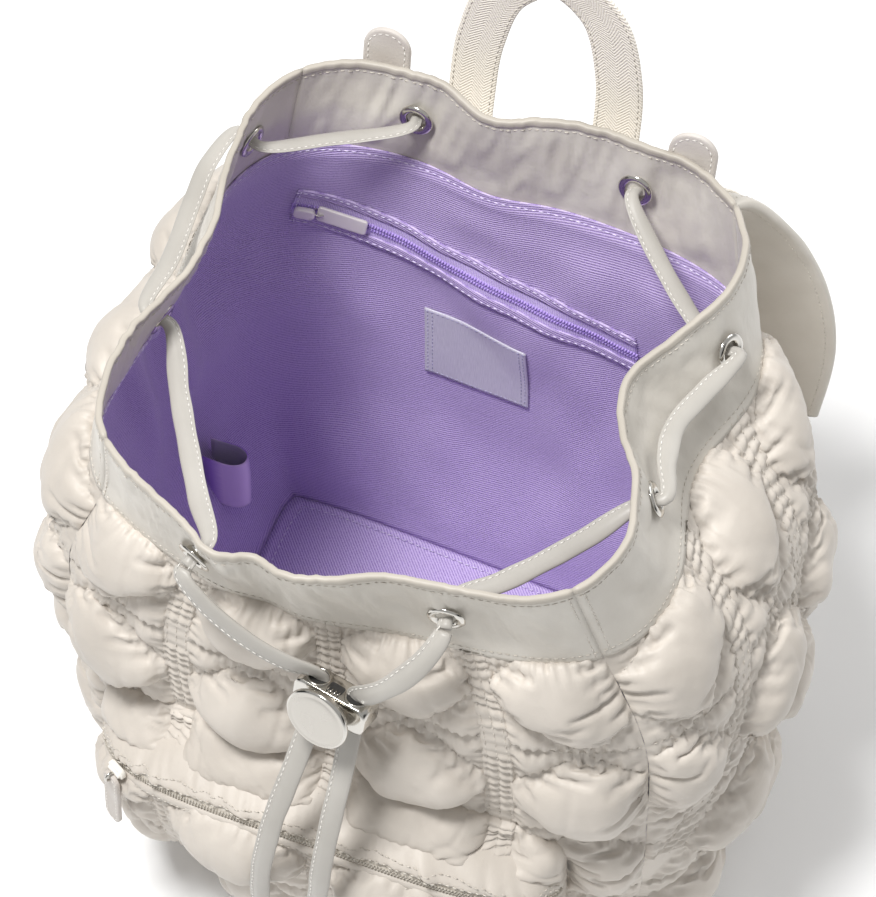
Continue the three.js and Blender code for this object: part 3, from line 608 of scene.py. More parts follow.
CORD_WIDTH = 9
CORD_THICKNESS = 2.9
CORD_EDGE = 0.62
CORD_STEP = 1.6
CORD_STITCH_INSET = 1.25
WOVEN_NARROWER = 0.7
EYELET_PINCH = {"reach": 11, "narrower": 3.3, "thicker": 0.9}
DRAWSTRING = (
    (-59.4, -118.6, 266.9), (-57.2, -113.2, 268.2), (-55, -107.7, 269.6), (-68, -88, 266), (-94, -46, 263),
    (-109, -19.8, 267), (-114.6, -18.6, 268.9), (-120.2, -17.5, 270.8), (-121, 8, 270), (-125, 40, 269),
    (-126.5, 60, 269), (-122, 77.8, 269.7), (-116.3, 76.4, 268.7), (-110.6, 75, 267.8), (-88, 90, 265),
    (-57, 105.7, 268.9), (-56.8, 111.7, 268.2), (-56.7, 117.6, 267.4), (-41, 118, 266), (-20, 114.5, 264),
    (8, 117.5, 265), (39.4, 114.9, 267.3), (38.8, 109, 268.4), (38.3, 103.1, 269.5), (52, 87, 265),
    (78, 60, 264), (92.2, 46.8, 266.7), (97.6, 45.2, 268.9), (102.9, 43.6, 271.2), (96, 22, 271.5),
    (90.5, 3, 271.5), (92.5, -13, 271.5), (97.6, -28.6, 271.4), (92.6, -31, 269), (87.7, -33.3, 266.5),
    (74, -52, 263), (52, -82, 265), (38.1, -98.3, 269.2), (38.8, -104.2, 268.5), (39.6, -110.1, 267.7),
)
END_LEFT = (
    (-59.9, -119.8, 266.6), (-60, -121.8, 265.2), (-51, -126, 258), (-39, -128.5, 250.5),
    (-26, -129.5, 243.5), (-14.5, -128.3, 237.3), (-7, -125.5, 232), (-5.2, -124.4, 227.9),
    (-5.6, -126, 221.6), (-5.9, -127.7, 215.3), (-7, -132, 204), (-9, -139, 190), (-12, -147, 174),
    (-15, -153.5, 158), (-17, -158, 142), (-19, -160, 126), (-20, -160.5, 110), (-21, -160, 95),
)
END_RIGHT = (
    (39.8, -111.3, 267.5), (39.7, -113.4, 266.4), (36, -120.5, 259.5), (30, -126, 251.5),
    (23.5, -129, 244), (17.5, -129.8, 237.5), (13, -129, 232.3), (11.5, -127.9, 227.9),
    (11.1, -129.5, 221.6), (10.8, -131.2, 215.3), (10.5, -136, 204), (10, -142, 190), (9, -149, 174),
    (8, -155, 158), (7, -159, 142), (6, -161, 126), (5, -161, 110), (5, -160.5, 95),
)
EYELET_NODES = tuple(sorted(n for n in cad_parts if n.startswith("eyelet_")))
ROUTE_DIVISIONS = 24
TWIST_ROUNDS = 6
FLANGE_EDGE = (0.2, 0.5)


def smooth_route(points, spacing):
    """Points at an even spacing along a smooth curve through the route."""
    p = np.asarray(points, float)
    p = np.concatenate([[2 * p[0] - p[1]], p, [2 * p[-1] - p[-2]]])
    fine = []
    for a, b, c, d in zip(p, p[1:], p[2:], p[3:]):
        t1 = np.linalg.norm(b - a) ** 0.5
        t2 = t1 + np.linalg.norm(c - b) ** 0.5
        t3 = t2 + np.linalg.norm(d - c) ** 0.5
        t = np.linspace(t1, t2, ROUTE_DIVISIONS, endpoint=False)[:, None]
        ab = (t1 - t) / t1 * a + t / t1 * b
        bc = (t2 - t) / (t2 - t1) * b + (t - t1) / (t2 - t1) * c
        cd = (t3 - t) / (t3 - t2) * c + (t - t2) / (t3 - t2) * d
        abc = (t2 - t) / t2 * ab + t / t2 * bc
        bcd = (t3 - t) / (t3 - t1) * bc + (t - t1) / (t3 - t1) * cd
        fine.append((t2 - t) / (t2 - t1) * abc + (t - t1) / (t2 - t1) * bcd)
    line = np.concatenate([*fine, p[-2:-1]])
    far = distances(line)
    places = np.linspace(0, far[-1], max(2, int(round(far[-1] / spacing)) + 1))
    return np.stack([np.interp(places, far, line[:, k]) for k in range(3)], -1)


def distances(line):
    """How far along a line each of its points is."""
    return np.concatenate([[0], np.cumsum(np.linalg.norm(np.diff(line, axis=0), axis=1))])


def route_length(line):
    return float(np.linalg.norm(np.diff(line, axis=0), axis=1).sum())


def route_frames(line, hints):
    """Side and face directions along a line whose faces look along the hints."""
    tangent = unit(np.gradient(line, axis=0))
    side = unit(np.cross(tangent, hints))
    for _ in range(TWIST_ROUNDS):
        side[1:-1] = unit(side[:-2] + 2 * side[1:-1] + side[2:])
    side = unit(side - tangent * np.sum(side * tangent, -1, keepdims=True))
    return side, np.cross(side, tangent)


def band_mesh(name, line, side, face, width, thickness, around=14, puff=2.6, flange=0.0):
    """A closed strap along a line, its section a rounded rectangle. UV: across, along.

    With a flange, the strap's edge on its side's direction is thinner by that share.
    """
    width = np.broadcast_to(width, len(line))[:, None]
    thickness = np.broadcast_to(thickness, len(line))[:, None]
    turn = np.linspace(0, 2 * math.pi, around, endpoint=False)
    power = 2 / puff
    across = np.sign(np.cos(turn)) * np.abs(np.cos(turn)) ** power
    rise = np.sign(np.sin(turn)) * np.abs(np.sin(turn)) ** power
    rise = rise * (1 - flange * smoothstep(across, *FLANGE_EDGE))
    rings = (line[:, None] + side[:, None] * (across * width / 2)[..., None]
             + face[:, None] * (rise * thickness / 2)[..., None])
    far = np.repeat(distances(line)[:, None], around, 1)
    uv = np.stack([across * width / 2 + width / 2, far], -1)
    return turned_out(make_mesh(name, rings, tube_faces(len(line), around), uv))


def turned_out(mesh):
    """Faces of a closed mesh pointing out."""
    mesh.calc_loop_triangles()
    points = np.empty(len(mesh.vertices) * 3)
    mesh.vertices.foreach_get("co", points)
    corners = np.empty(len(mesh.loop_triangles) * 3, dtype=np.int32)
    mesh.loop_triangles.foreach_get("vertices", corners)
    corners = points.reshape(-1, 3)[corners].reshape(-1, 3, 3)
    if np.einsum("ij,ij->", corners[:, 0], np.cross(corners[:, 1], corners[:, 2])) < 0:
        mesh.flip_normals()
    return mesh


def node_points(node):
    return np.array([v.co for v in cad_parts[node].data.vertices]) / MM


def eyelet_place(node):
    """Middle and axis of an eyelet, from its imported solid."""
    points = node_points(node)
    middle = points.mean(0)
    _, _, axes = np.linalg.svd(points - middle, full_matrices=False)
    axis = axes[2]
    if axis[:2] @ (middle[:2] - np.array(MOUTH_MIDDLE[:2])) < 0:
        axis = -axis
    return middle, axis


EYELET_PLACES = {node: eyelet_place(node) for node in EYELET_NODES}


def cord_piece(name, route, hint_of):
    line = smooth_route(route, CORD_STEP)
    side, face = route_frames(line, hint_of(line))
    pinch = np.zeros(len(line))
    for middle, _ in EYELET_PLACES.values():
        away = np.linalg.norm(line - middle, axis=1)
        pinch = np.maximum(pinch, np.exp(-(away / EYELET_PINCH["reach"]) ** 2))
    along = np.arange(len(line)) * CORD_STEP
    width = CORD_WIDTH - EYELET_PINCH["narrower"] * pinch + 0.3 * ripple(along[:, None], 22, seed=len(name))
    if name == "drawstring":
        width = width - WOVEN_NARROWER
    thickness = CORD_THICKNESS + EYELET_PINCH["thicker"] * pinch
    mesh = band_mesh(name + "_band", line, side, face, width, thickness, 24, 2.5, CORD_EDGE)
    piece = new_piece(mesh, CORD_NYLON, (name,))
    rows = []
    for level in (1, -1):
        rise = level * (1 - CORD_EDGE) * thickness * 0.43
        offset = side * (width / 2 - CORD_STITCH_INSET)[:, None] + face * rise[:, None]
        rows.append((line + offset, face * level))
    bars(name + "_stitches", rows, "cord")


def woven_hints(line):
    """Faces of the woven run look up, leaning out from the mouth."""
    away = line - np.array(MOUTH_MIDDLE)
    away[:, 2] = 0
    return unit(unit(away) * 0.25 + np.array([0, 0, 1]))


def hanging_hints(line):
    """Faces of the hanging ends look to the front."""
    return np.repeat([[-0.1, -1, 0.3]], len(line), 0)


cord_piece("drawstring", DRAWSTRING, woven_hints)
cord_piece("drawstring_end_left", END_LEFT, hanging_hints)
cord_piece("drawstring_end_right", END_RIGHT, hanging_hints)

# Ruched cloth: spare length drawn together along strips, slanting seams and level seams

ROW = 57
STRIP_HALF = 5.5
PLEAT = 4.6
SEAM_LIFT = 1.2
PANEL_LOW = 4.3
PANEL_HIGH = 244.6
CLOTH_STEP = 2.0
QUILT = {
    "front": {"strips": 67, "first": 0, "lean": 0.0, "fill": 1.0},
    "right": {"strips": 60, "first": -26, "lean": 0.4, "fill": 1.0},
    "back": {"strips": 67, "first": 0, "lean": 0.0, "fill": 0.45},
    "left": {"strips": 60, "first": 26, "lean": -0.4, "fill": 1.0},
}
SPARE_ACROSS = 0.18
SPARE_UP = 0.45
DRAWN_TO = (-4, 0)
FIRST_PUFF = {"height": 3.5, "rough": 0.35}
PRESSURE = {"empty": 2200, "full": 5500}
CALM = {"rounds": 12, "least": 0.1, "small_cells": 0.65, "cell_size": (0.47, 0.56)}
DROOP = {"share": 0.38, "from": 2.5, "lowest": 1.5}
CLOSE_FRAME = 13
LAST_FRAME = 19
# of the seams: how deep along slanting and level ones, how far from them, how wide, how long a wave
GATHERS = {"slanting": 0.55, "level": 0.6, "beside": 2.2, "reach": 2.6, "pitch": 3.9, "waver": 1.4}
STRIP_GATHERS = {"depth": 0.6, "reach": 5, "from": -0.5}
COLLAR_GATHERS = {"depth": 0.55, "below": 2.5, "reach": 5, "pitch": 4.4}
CREASES = {"depth": 1.3, "reach": 13, "outside": 0.5, "clear": (0.8, 3), "dents": 0.75, "dented": (3, 11)}
POCKET = {
    "middle": -0.05, "reach": 0.82, "bottom": 24, "zip": 132,
    "arch": 24, "band": 16, "depth": 27, "rise": 60,
}
POCKET_LIFT = 3.75
POCKET_ZIP_GAP = 3.0
POCKET_TURN_IN = 0.6
POCKET_UNDER = 4
SHELF = {
    "low": 6, "high": 21, "rows": 20, "pleat": 1.9, "fill": 0.9, "puff": 6,
    "tuck": 6.5, "tuck_from": 0.86, "corner": 20, "calm": 0.5, "folds": 3,
}
FRONT_REACH = panel_reach("front")
CLOTH_SETTINGS = {
    "quality": 5, "mass": 0.018, "tension_stiffness": 12, "compression_stiffness": 12,
    "shear_stiffness": 4, "bending_stiffness": 2, "tension_damping": 4, "compression_damping": 4,
    "shear_damping": 4, "air_damping": 2, "use_pressure": True,
}


def zip_line(u):
    """Height of the pocket's zip; u runs from -1 to 1 along the pocket."""
    return POCKET["zip"] - POCKET["arch"] * np.abs(u) ** 3


def pocket_u(t):
    return (t - POCKET["middle"]) / POCKET["reach"]


def pocket_t(u):
    return POCKET["middle"] + POCKET["reach"] * u


def pocket_columns():
    return int(round(2 * POCKET["reach"] * FRONT_REACH / CLOTH_STEP)) + 1


def pocket_depth(u, z):
    """How far the pocket stands out from the front panel."""
    low = smoothstep(z, POCKET["bottom"], POCKET["bottom"] + POCKET["rise"])
    high = 1 - smoothstep(z, zip_line(u), zip_line(u) + POCKET["band"])
    return POCKET["depth"] * np.sqrt(np.maximum(0, 1 - u ** 4)) * np.minimum(low, high)


def pocket_covers(a, z):
    """Whether the pocket hides the front panel at places along it and heights."""
    u = pocket_u(a / FRONT_REACH)
    return (np.abs(u) < 1.0) & (z > POCKET["bottom"] - POCKET_UNDER) & (z < zip_line(u) + POCKET["band"])


def panel_place(panel):
    """Gives the function for points on a panel, from places along it, heights and lifts."""
    reach = panel_reach(panel)

    def place(a, z, lift):
        return surface(panel, a / reach, z, lift)
    return place


def pocket_place(a, z, lift):
    t = a / FRONT_REACH
    return surface("front", t, z, POCKET_LIFT + pocket_depth(pocket_u(t), z) + lift)


def pattern(panel, a, z):
    """Position in the quilting: 0 at a strip and 1 at the next, and 1 for each row up."""
    quilt = QUILT[panel]
    strip = (a - quilt["first"] - quilt["lean"] * (z - COLLAR_SEAM)) / quilt["strips"]
    return strip, z / ROW


def quilt_cloth(name, panel, a, z, place, covered=None):
    """Cloth before it is drawn together: its points sewn in place and the points that are sewn."""
    quilt = QUILT[panel]
    step = np.gradient(z, axis=0)
    edge = np.zeros(a.shape, bool)
    edge[[0, -1]] = True
    edge[:, [0, -1]] = True
    sewn = np.zeros(a.shape, bool)
    slope = 1 / ROW
    skew = quilt["lean"] / quilt["strips"]
    for kind, rate in (("up", slope + skew), ("down", slope - skew), ("level", slope)):
        strip, level = pattern(panel, a, z)
        value = {"up": level - strip, "down": level + strip, "level": level - 0.5}[kind]
        gap = (value - np.round(value)) / rate
        near = (np.abs(gap) <= 0.5 * step) & ~edge
        z = np.where(near & ~sewn, z - gap, z)
        sewn |= near
    strip, level = pattern(panel, a, z)
    sewn |= np.abs(strip - np.round(strip)) * quilt["strips"] < STRIP_HALF
    sewn |= edge
    if covered is not None:
        sewn |= covered(a, z)
    lattice = np.abs(np.cos(2 * math.pi * strip) - np.cos(2 * math.pi * level)) / 2
    rough = ripple(np.stack([a, z], -1), 9, seed=3 + len(name))
    puff = SEAM_LIFT + FIRST_PUFF["height"] * np.sqrt(lattice) + FIRST_PUFF["rough"] * rough
    start = place(a, z, np.where(sewn, SEAM_LIFT, puff))
    return {"name": name, "panel": panel, "a": a, "z": z, "start": start, "sewn": sewn,
            "fill": quilt["fill"], "place": place}


def panel_cloth(panel):
    reach = panel_reach(panel)
    columns = int(round(2 * reach / CLOTH_STEP)) + 1
    rows = int(round((PANEL_HIGH - PANEL_LOW) / CLOTH_STEP)) + 1
    a, z = np.meshgrid(np.linspace(-reach, reach, columns), np.linspace(PANEL_LOW, PANEL_HIGH, rows))
    covered = pocket_covers if panel == "front" else None
    return quilt_cloth(panel + "_panel", panel, a, z, panel_place(panel), covered)


def pocket_cloth():
    """Cloth of the pocket's face, turned in to the panel at its sides and foot."""
    rows = int(round((POCKET["zip"] - POCKET["bottom"]) / CLOTH_STEP)) + 1
    u, v = np.meshgrid(np.linspace(-1, 1, pocket_columns()), np.linspace(0, 1, rows))
    a = pocket_t(u) * FRONT_REACH
    z = POCKET["bottom"] + v * (zip_line(u) - POCKET_ZIP_GAP - POCKET["bottom"])
    cloth = quilt_cloth("pocket_face", "front", a, z, pocket_place)
    hidden = pocket_place(a, z, -POCKET_LIFT - POCKET_TURN_IN)
    for edge in ((slice(None), 0), (slice(None), -1), (0, slice(None))):
        cloth["start"][edge] = hidden[edge]
    return cloth


def shelf_cloth():
    """Cloth on the slope above the pocket's band: pillows between the strips."""
    u, v = np.meshgrid(np.linspace(-1, 1, pocket_columns()), np.linspace(0, 1, SHELF["rows"]))
    a = pocket_t(u) * FRONT_REACH
    z = zip_line(u) + SHELF["low"] + (SHELF["high"] - SHELF["low"]) * v
    strip, _ = pattern("front", a, z)
    beside = np.abs(strip - np.round(strip)) * QUILT["front"]["strips"]
    sewn = beside < STRIP_HALF
    sewn[[0, -1]] = True
    sewn[:, [0, -1]] = True
    swell = np.sin(math.pi * v) ** 0.7 * np.clip(beside / SHELF["corner"], 0, 1) ** 0.6
    tucked = SEAM_LIFT - SHELF["tuck"] * smoothstep(v, SHELF["tuck_from"], 1)
    start = pocket_place(a, z, np.where(sewn, tucked, tucked + SHELF["puff"] * swell))
    return {"name": "pocket_shelf", "panel": "front", "a": a, "z": z, "start": start, "sewn": sewn,
            "fill": SHELF["fill"], "place": pocket_place}


def join_corners(cloths):
    """Gives two panels that meet at a corner seam the same points there."""
    for this, following in zip(cloths, cloths[1:] + cloths[:1]):
        meeting = (this["start"][:, -1] + following["start"][:, 0]) / 2
        this["start"][:, -1] = meeting
        following["start"][:, 0] = meeting


def cloth_object(cloth):
    """A loose cloth whose seams are drawn from its cut size to where they are sewn."""
    middle = cloth["start"].reshape(-1, 3).mean(0)
    if cloth["name"].endswith("panel"):
        middle[:2] = DRAWN_TO
    across = 1 + SPARE_ACROSS * cloth["fill"]
    up = 1 + SPARE_UP * cloth["fill"]
    cut = (cloth["start"] - middle) * np.array([across, across, up]) + middle
    mesh = make_mesh("loose_" + cloth["name"], cut, grid_faces(*cloth["a"].shape))
    obj = bpy.data.objects.new(mesh.name, mesh)
    scene.collection.objects.link(obj)
    obj.shape_key_add(name="cut")
    key = obj.shape_key_add(name="sewn")
    key.data.foreach_set("co", (cloth["start"] * MM).ravel())
    for share, number in ((0, 1), (1, CLOSE_FRAME)):
        key.value = share
        key.keyframe_insert("value", frame=number)
    seams = obj.vertex_groups.new(name="seams")
    seams.add(np.flatnonzero(cloth["sewn"].ravel()).tolist(), 1.0, "REPLACE")
    modifier = obj.modifiers.new("cloth", "CLOTH")
    for name, value in CLOTH_SETTINGS.items():
        setattr(modifier.settings, name, value)
    pressed = PRESSURE["empty"] + (PRESSURE["full"] - PRESSURE["empty"]) * cloth["fill"]
    modifier.settings.uniform_pressure_force = pressed
    modifier.settings.vertex_group_mass = "seams"
    modifier.collision_settings.use_collision = False
    modifier.point_cache.frame_end = LAST_FRAME
    return obj


def draw_together(cloths):
    """Runs all the cloths at once and keeps the shape each one ends with."""
    objects = [cloth_object(cloth) for cloth in cloths]
    for number in range(1, LAST_FRAME + 1):
        scene.frame_set(number)
    for cloth, obj in zip(cloths, objects):
        mesh = baked(obj)
        points = np.empty(len(mesh.vertices) * 3)
        mesh.vertices.foreach_get("co", points)
        cloth["shape"] = points.reshape(cloth["start"].shape) / MM
        bpy.data.meshes.remove(mesh)
    for obj in objects:
        obj.data.shape_keys.animation_data_clear()
        bpy.data.objects.remove(obj)
    scene.frame_set(1)


def hung(cloth):
    """The drawn shape with its small cells calmed and its puffs hanging over their lower seams."""
    shape, a, z = cloth["shape"], cloth["a"], cloth["z"]
    free = ~cloth["sewn"][..., None]
    strip, level = pattern(cloth["panel"], a, z)
    beside = np.abs(strip - np.floor(strip) - 0.5) + np.abs(level - np.round(level))
    small = smoothstep(beside, *CALM["cell_size"])[..., None]
    if cloth["name"] == "pocket_shelf":
        small = np.full_like(small, SHELF["calm"])
    calm = shape.copy()
    for _ in range(CALM["rounds"]):
        middle = calm.copy()
        middle[1:-1, 1:-1] = (calm[:-2, 1:-1] + calm[2:, 1:-1] + calm[1:-1, :-2] + calm[1:-1, 2:]) / 4
        calm = np.where(free, middle, calm)
    shape = shape + (calm - shape) * (CALM["least"] + CALM["small_cells"] * small)
    height = np.linalg.norm(shape - cloth["place"](a, z, 0), axis=-1)
    shape[..., 2] -= DROOP["share"] * np.maximum(0, height - DROOP["from"])
    shape[..., 2] = np.maximum(shape[..., 2], DROOP["lowest"])
    return shape


def doubled(grid):
    """A grid with one more point between each pair, on smooth curves."""
    for axis in (0, 1):
        g = np.moveaxis(grid, axis, 0)
        wide = np.concatenate([2 * g[:1] - g[1:2], g, 2 * g[-1:] - g[-2:-1]])
        fine = np.empty((2 * len(g) - 1, *g.shape[1:]))
        fine[::2] = g
        fine[1::2] = (9 * (wide[1:-2] + wide[2:-1]) - wide[:-3] - wide[3:]) / 16
        grid = np.moveaxis(fine, 0, axis)
    return grid


def gathers(panel, a, z):
    """Height of the small gathers along the seams."""
    quilt = QUILT[panel]
    strip, level = pattern(panel, a, z)
    waver = ripple(np.stack([a, z], -1), 24, seed=5)
    swing = GATHERS["waver"] * waver
    total = np.zeros_like(a)
    for value, kind in ((level - strip, "slanting"), (level + strip, "slanting"), (level - 0.5, "level")):
        gap = (value - np.round(value)) * ROW
        height = GATHERS[kind] * np.exp(-((np.abs(gap) - GATHERS["beside"]) / GATHERS["reach"]) ** 2)
        total += height * np.sin(2 * math.pi * a / GATHERS["pitch"] + swing)
    beside = np.abs(strip - np.round(strip)) * quilt["strips"] - STRIP_HALF
    height = STRIP_GATHERS["depth"] * np.exp(-(beside / STRIP_GATHERS["reach"]) ** 2)
    height = np.where(beside > STRIP_GATHERS["from"], height, 0)
    total += height * np.sin(2 * math.pi * z / PLEAT + waver)
    below = COLLAR_SEAM - z - COLLAR_GATHERS["below"]
    height = COLLAR_GATHERS["depth"] * np.exp(-(below / COLLAR_GATHERS["reach"]) ** 2)
    total += height * np.sin(2 * math.pi * a / COLLAR_GATHERS["pitch"] + swing)
    return total + creases(strip, level, a, z)


def creases(strip, level, a, z):
    """Thin folds that run from the seams into the puffs, and shallow dents in the puffs."""
    inward = ROW * 0.7 * (0.5 - np.abs(strip - np.floor(strip) - 0.5) - np.abs(level - np.round(level)))
    near = np.where(inward > 0, np.exp(-np.maximum(inward, 0) / CREASES["reach"]), CREASES["outside"])
    near = near * smoothstep(np.abs(inward), *CREASES["clear"])
    line = ripple(np.stack([a, 0.5 * z], -1), 25, seed=31)
    slant = ripple(np.stack([a + 0.8 * z, 0.5 * z], -1), 34, seed=32)
    folds = np.exp(-(line / 0.3) ** 2) + 0.8 * np.exp(-(slant / 0.26) ** 2)
    dents = CREASES["dents"] * ripple(np.stack([a, 0.8 * z], -1), 23, seed=33)
    return dents * smoothstep(inward, *CREASES["dented"]) - CREASES["depth"] * folds * near


def ruched_piece(cloth):
    """The finished cloth of a panel or the pocket, with its gathers and creases."""
    a, z = doubled(cloth["a"]), doubled(cloth["z"])
    points = doubled(hung(cloth))
    normal = unit(np.cross(np.gradient(points, axis=1), np.gradient(points, axis=0)))
    sewn = doubled(cloth["sewn"].astype(float))
    small = gathers(cloth["panel"], a, z) * (1 - 0.6 * np.clip(sewn, 0, 1))
    if cloth["name"] == "pocket_shelf":
        strip, _ = pattern("front", a, z)
        small = creases(strip, np.zeros_like(a), a, SHELF["folds"] * z) * (1 - np.clip(sewn, 0, 1))
    points = points + normal * small[..., None]
    mesh = make_mesh(cloth["name"] + "_cloth", points, grid_faces(*a.shape), np.stack([a, z], -1))
    replaced = (cloth["name"],) if cloth["name"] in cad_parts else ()
    piece = new_piece(mesh, NYLON, replaced)


panel_cloths = [panel_cloth(panel) for panel in PANELS]
join_corners(panel_cloths)
cloths = panel_cloths + [pocket_cloth(), shelf_cloth()]
draw_together(cloths)
for cloth in cloths:
    ruched_piece(cloth)


SEAM_MARGIN = 1.5
SEAM_ENDS = 2
SEAM_STITCH_LIFT = 0.3
SHORTEST_RUN = 8


def runs(a, z, kept):
    """Stretches of a line that are kept, each of some length."""
    places = np.flatnonzero(kept)
    parts = np.split(places, np.flatnonzero(np.diff(places) > 1) + 1)
    return [(a[part], z[part]) for part in parts if len(part) > SHORTEST_RUN]


def seam_lines(panel, low, high):
    """Slanting and level seams of a panel's quilting, as places along it and heights."""
    quilt = QUILT[panel]
    reach = panel_reach(panel)
    lines = []
    for way in (1, -1):
        for number in range(-4, 9):
            z = np.arange(low, high, 1.0)
            strip = way * (z / ROW - number)
            lines.append((quilt["first"] + strip * quilt["strips"] + quilt["lean"] * (z - COLLAR_SEAM), z))
    for number in range(5):
        a = np.arange(SEAM_MARGIN - reach, reach - SEAM_MARGIN, 1.0)
        lines.append((a, np.full_like(a, (number + 0.5) * ROW)))
    return lines


def seam_stitches():
    for panel in PANELS:
        place = panel_place(panel)
        rows = []
        for a, z in seam_lines(panel, PANEL_LOW + SEAM_ENDS, PANEL_HIGH - SEAM_ENDS):
            kept = (np.abs(a) < panel_reach(panel) - SEAM_MARGIN) & (z < PANEL_HIGH - SEAM_ENDS)
            if panel == "front":
                kept &= ~pocket_covers(a, z)
            for run_a, run_z in runs(a, z, kept):
                line = place(run_a, run_z, SEAM_LIFT + SEAM_STITCH_LIFT)
                rows.append((line, line - place(run_a, run_z, 0)))
        bars(panel + "_seam_stitches", rows, "seam")


seam_stitches()

# Shirred strips: pleats held by three rows of stitches, with flat sewn patches between them

STITCH_GAP = 4.2
STITCH_ROWS = (-STITCH_GAP, 0, STITCH_GAP)
STRIP_EDGE = 0.9
STRIP_TURN_IN = 0.6
STRIP_STEP = 0.75
STRIP_COLUMNS = 15
STRIP_STITCH_LIFT = 0.85
SHORTEST_STRIP = 12
SHIRRING = {"least": 0.3, "height": 1.7}
PATCH = {"fades": (6.5, 9.5), "height": 0.75, "wave": 0.22, "pitch": 5.4}
SHELF_TUCK = {"from": 17.5, "to": 21, "depth": 6}


def strip_run(panel, number, low, high):
    """Heights and places along a strip, as far as it stays on its panel."""
    quilt = QUILT[panel]
    z = np.arange(low, high, STRIP_STEP)
    a = quilt["first"] + number * quilt["strips"] + quilt["lean"] * (z - COLLAR_SEAM)
    keep = np.abs(a) < panel_reach(panel) - STRIP_HALF - 1
    return a[keep], z[keep]


def strip_piece(name, panel, place, a, z, pitch=PLEAT):
    """Makes a strip and gives the paths of its stitches."""
    across = np.linspace(-STRIP_HALF - STRIP_EDGE, STRIP_HALF + STRIP_EDGE, STRIP_COLUMNS)
    grid_a, grid_z = a[:, None] + across, np.repeat(z[:, None], len(across), 1)
    _, level = pattern(panel, grid_a, grid_z)
    from_patch = np.abs(level - 0.5 - np.round(level - 0.5)) * ROW
    patch = (1 - smoothstep(from_patch, *PATCH["fades"])) * (pitch == PLEAT)
    waver = 1.3 * ripple(np.stack([grid_a, grid_z], -1), 13, seed=21)
    pleat = 0.5 - 0.5 * np.cos(2 * math.pi * grid_z / pitch + waver)
    between = 0.4 + 0.6 * np.abs(np.sin(math.pi * across / STITCH_GAP)) ** 0.7
    shirred = SHIRRING["least"] + SHIRRING["height"] * pleat ** 0.8 * between
    flat = PATCH["height"] + PATCH["wave"] * np.cos(2 * math.pi * grid_z / PATCH["pitch"])
    lift = SEAM_LIFT + shirred * (1 - patch) + flat * patch
    lift[:, [0, -1]] = SEAM_LIFT - STRIP_TURN_IN
    points = place(grid_a, grid_z, lift)
    mesh = make_mesh(name, points, grid_faces(*grid_a.shape), np.stack([grid_a, grid_z], -1))
    new_piece(mesh, NYLON)
    rows = []
    for offset in STITCH_ROWS:
        line = place(a + offset, z, np.full_like(a, SEAM_LIFT + STRIP_STITCH_LIFT))
        rows.append((line, line - place(a + offset, z, np.full_like(a, SEAM_LIFT))))
    return rows


def tucked_under(above):
    """Places on the pocket's slope, turned in where they meet the panel above it."""
    def place(a, z, lift):
        tuck = smoothstep(z, above + SHELF_TUCK["from"], above + SHELF_TUCK["to"])
        return pocket_place(a, z, lift - SHELF_TUCK["depth"] * tuck)
    return place


def strips():
    stitches = []
    for panel in PANELS:
        place = panel_place(panel)
        for number in range(-2, 4):
            a, z = strip_run(panel, number, PANEL_LOW + 1, PANEL_HIGH)
            if panel == "front":
                shown = ~pocket_covers(a, z) & (z > POCKET["bottom"])
                a, z = a[shown], z[shown]
            if len(z) > SHORTEST_STRIP:
                stitches += strip_piece(f"{panel}_strip_{number + 3}", panel, place, a, z)
    for number in (-1, 0, 1):
        a, z = strip_run("front", number, POCKET["bottom"] + 1, POCKET["zip"])
        shown = z < zip_line(pocket_u(a / FRONT_REACH)) - 4
        stitches += strip_piece(f"pocket_strip_{number + 2}", "front", pocket_place, a[shown], z[shown])
        at = number * QUILT["front"]["strips"]
        above = zip_line(pocket_u(at / FRONT_REACH))
        z = np.arange(above + SHELF["low"], above + SHELF["high"] + 0.5, 0.3)
        a = np.full_like(z, at)
        name = f"shelf_strip_{number + 2}"
        stitches += strip_piece(name, "front", tucked_under(above), a, z, SHELF["pleat"])
    bars("strip_stitches", stitches, "strip")


strips()


# Collar: a doubled nylon band with a bound rim

COLLAR = 2
COLLAR_STEP = 1.9
COLLAR_LEVELS = np.concatenate([
    np.linspace(COLLAR_SEAM - 1.5, RIM - 5, 28), RIM - 5 + np.arange(0.6, 5.4, 0.55),
])
COLLAR_SEED = 40
COLLAR_FOLDS = {"broad": 1.4, "crisp": 0.95, "sunk": 0.55, "fine": 0.16, "lengths": (32, 13, 6)}
COLLAR_SETTLES = 12
COLLAR_CORNER = {"depth": 0.5, "width": 1.6}
COLLAR_STITCHES = {"below_rim": 4.6, "above_seam": 2.2, "from_corner": 2.4, "lift": 0.1, "reach": 0.985}
BINDING = {"height": 3, "swell": 0.45, "edge": (3.3, 2.6), "round": (1.4, 1.8)}


def collar_softness(panel, t, z):
    """Soft folds of the collar, none at its corner seams or its lower seam, and half as deep at its rim."""
    reach = panel_reach(panel)
    key = COLLAR_SEED + PANELS.index(panel)
    slant = np.stack([t * reach + 0.25 * (z - COLLAR_SEAM), z * 0.3], -1)
    lengths = COLLAR_FOLDS["lengths"]
    broad, crisp, fine = [ripple(slant, length, seed=key + 10 * i) for i, length in enumerate(lengths)]
    sharp = COLLAR_FOLDS["crisp"] * np.abs(crisp) - COLLAR_FOLDS["sunk"] + COLLAR_FOLDS["fine"] * fine
    settled = smoothstep(z, COLLAR_SEAM, COLLAR_SEAM + COLLAR_SETTLES)
    settled = settled * (1 - 0.5 * smoothstep(z, RIM - COLLAR_SETTLES, RIM))
    return (COLLAR_FOLDS["broad"] * broad + sharp) * (1 - t ** 10) * settled


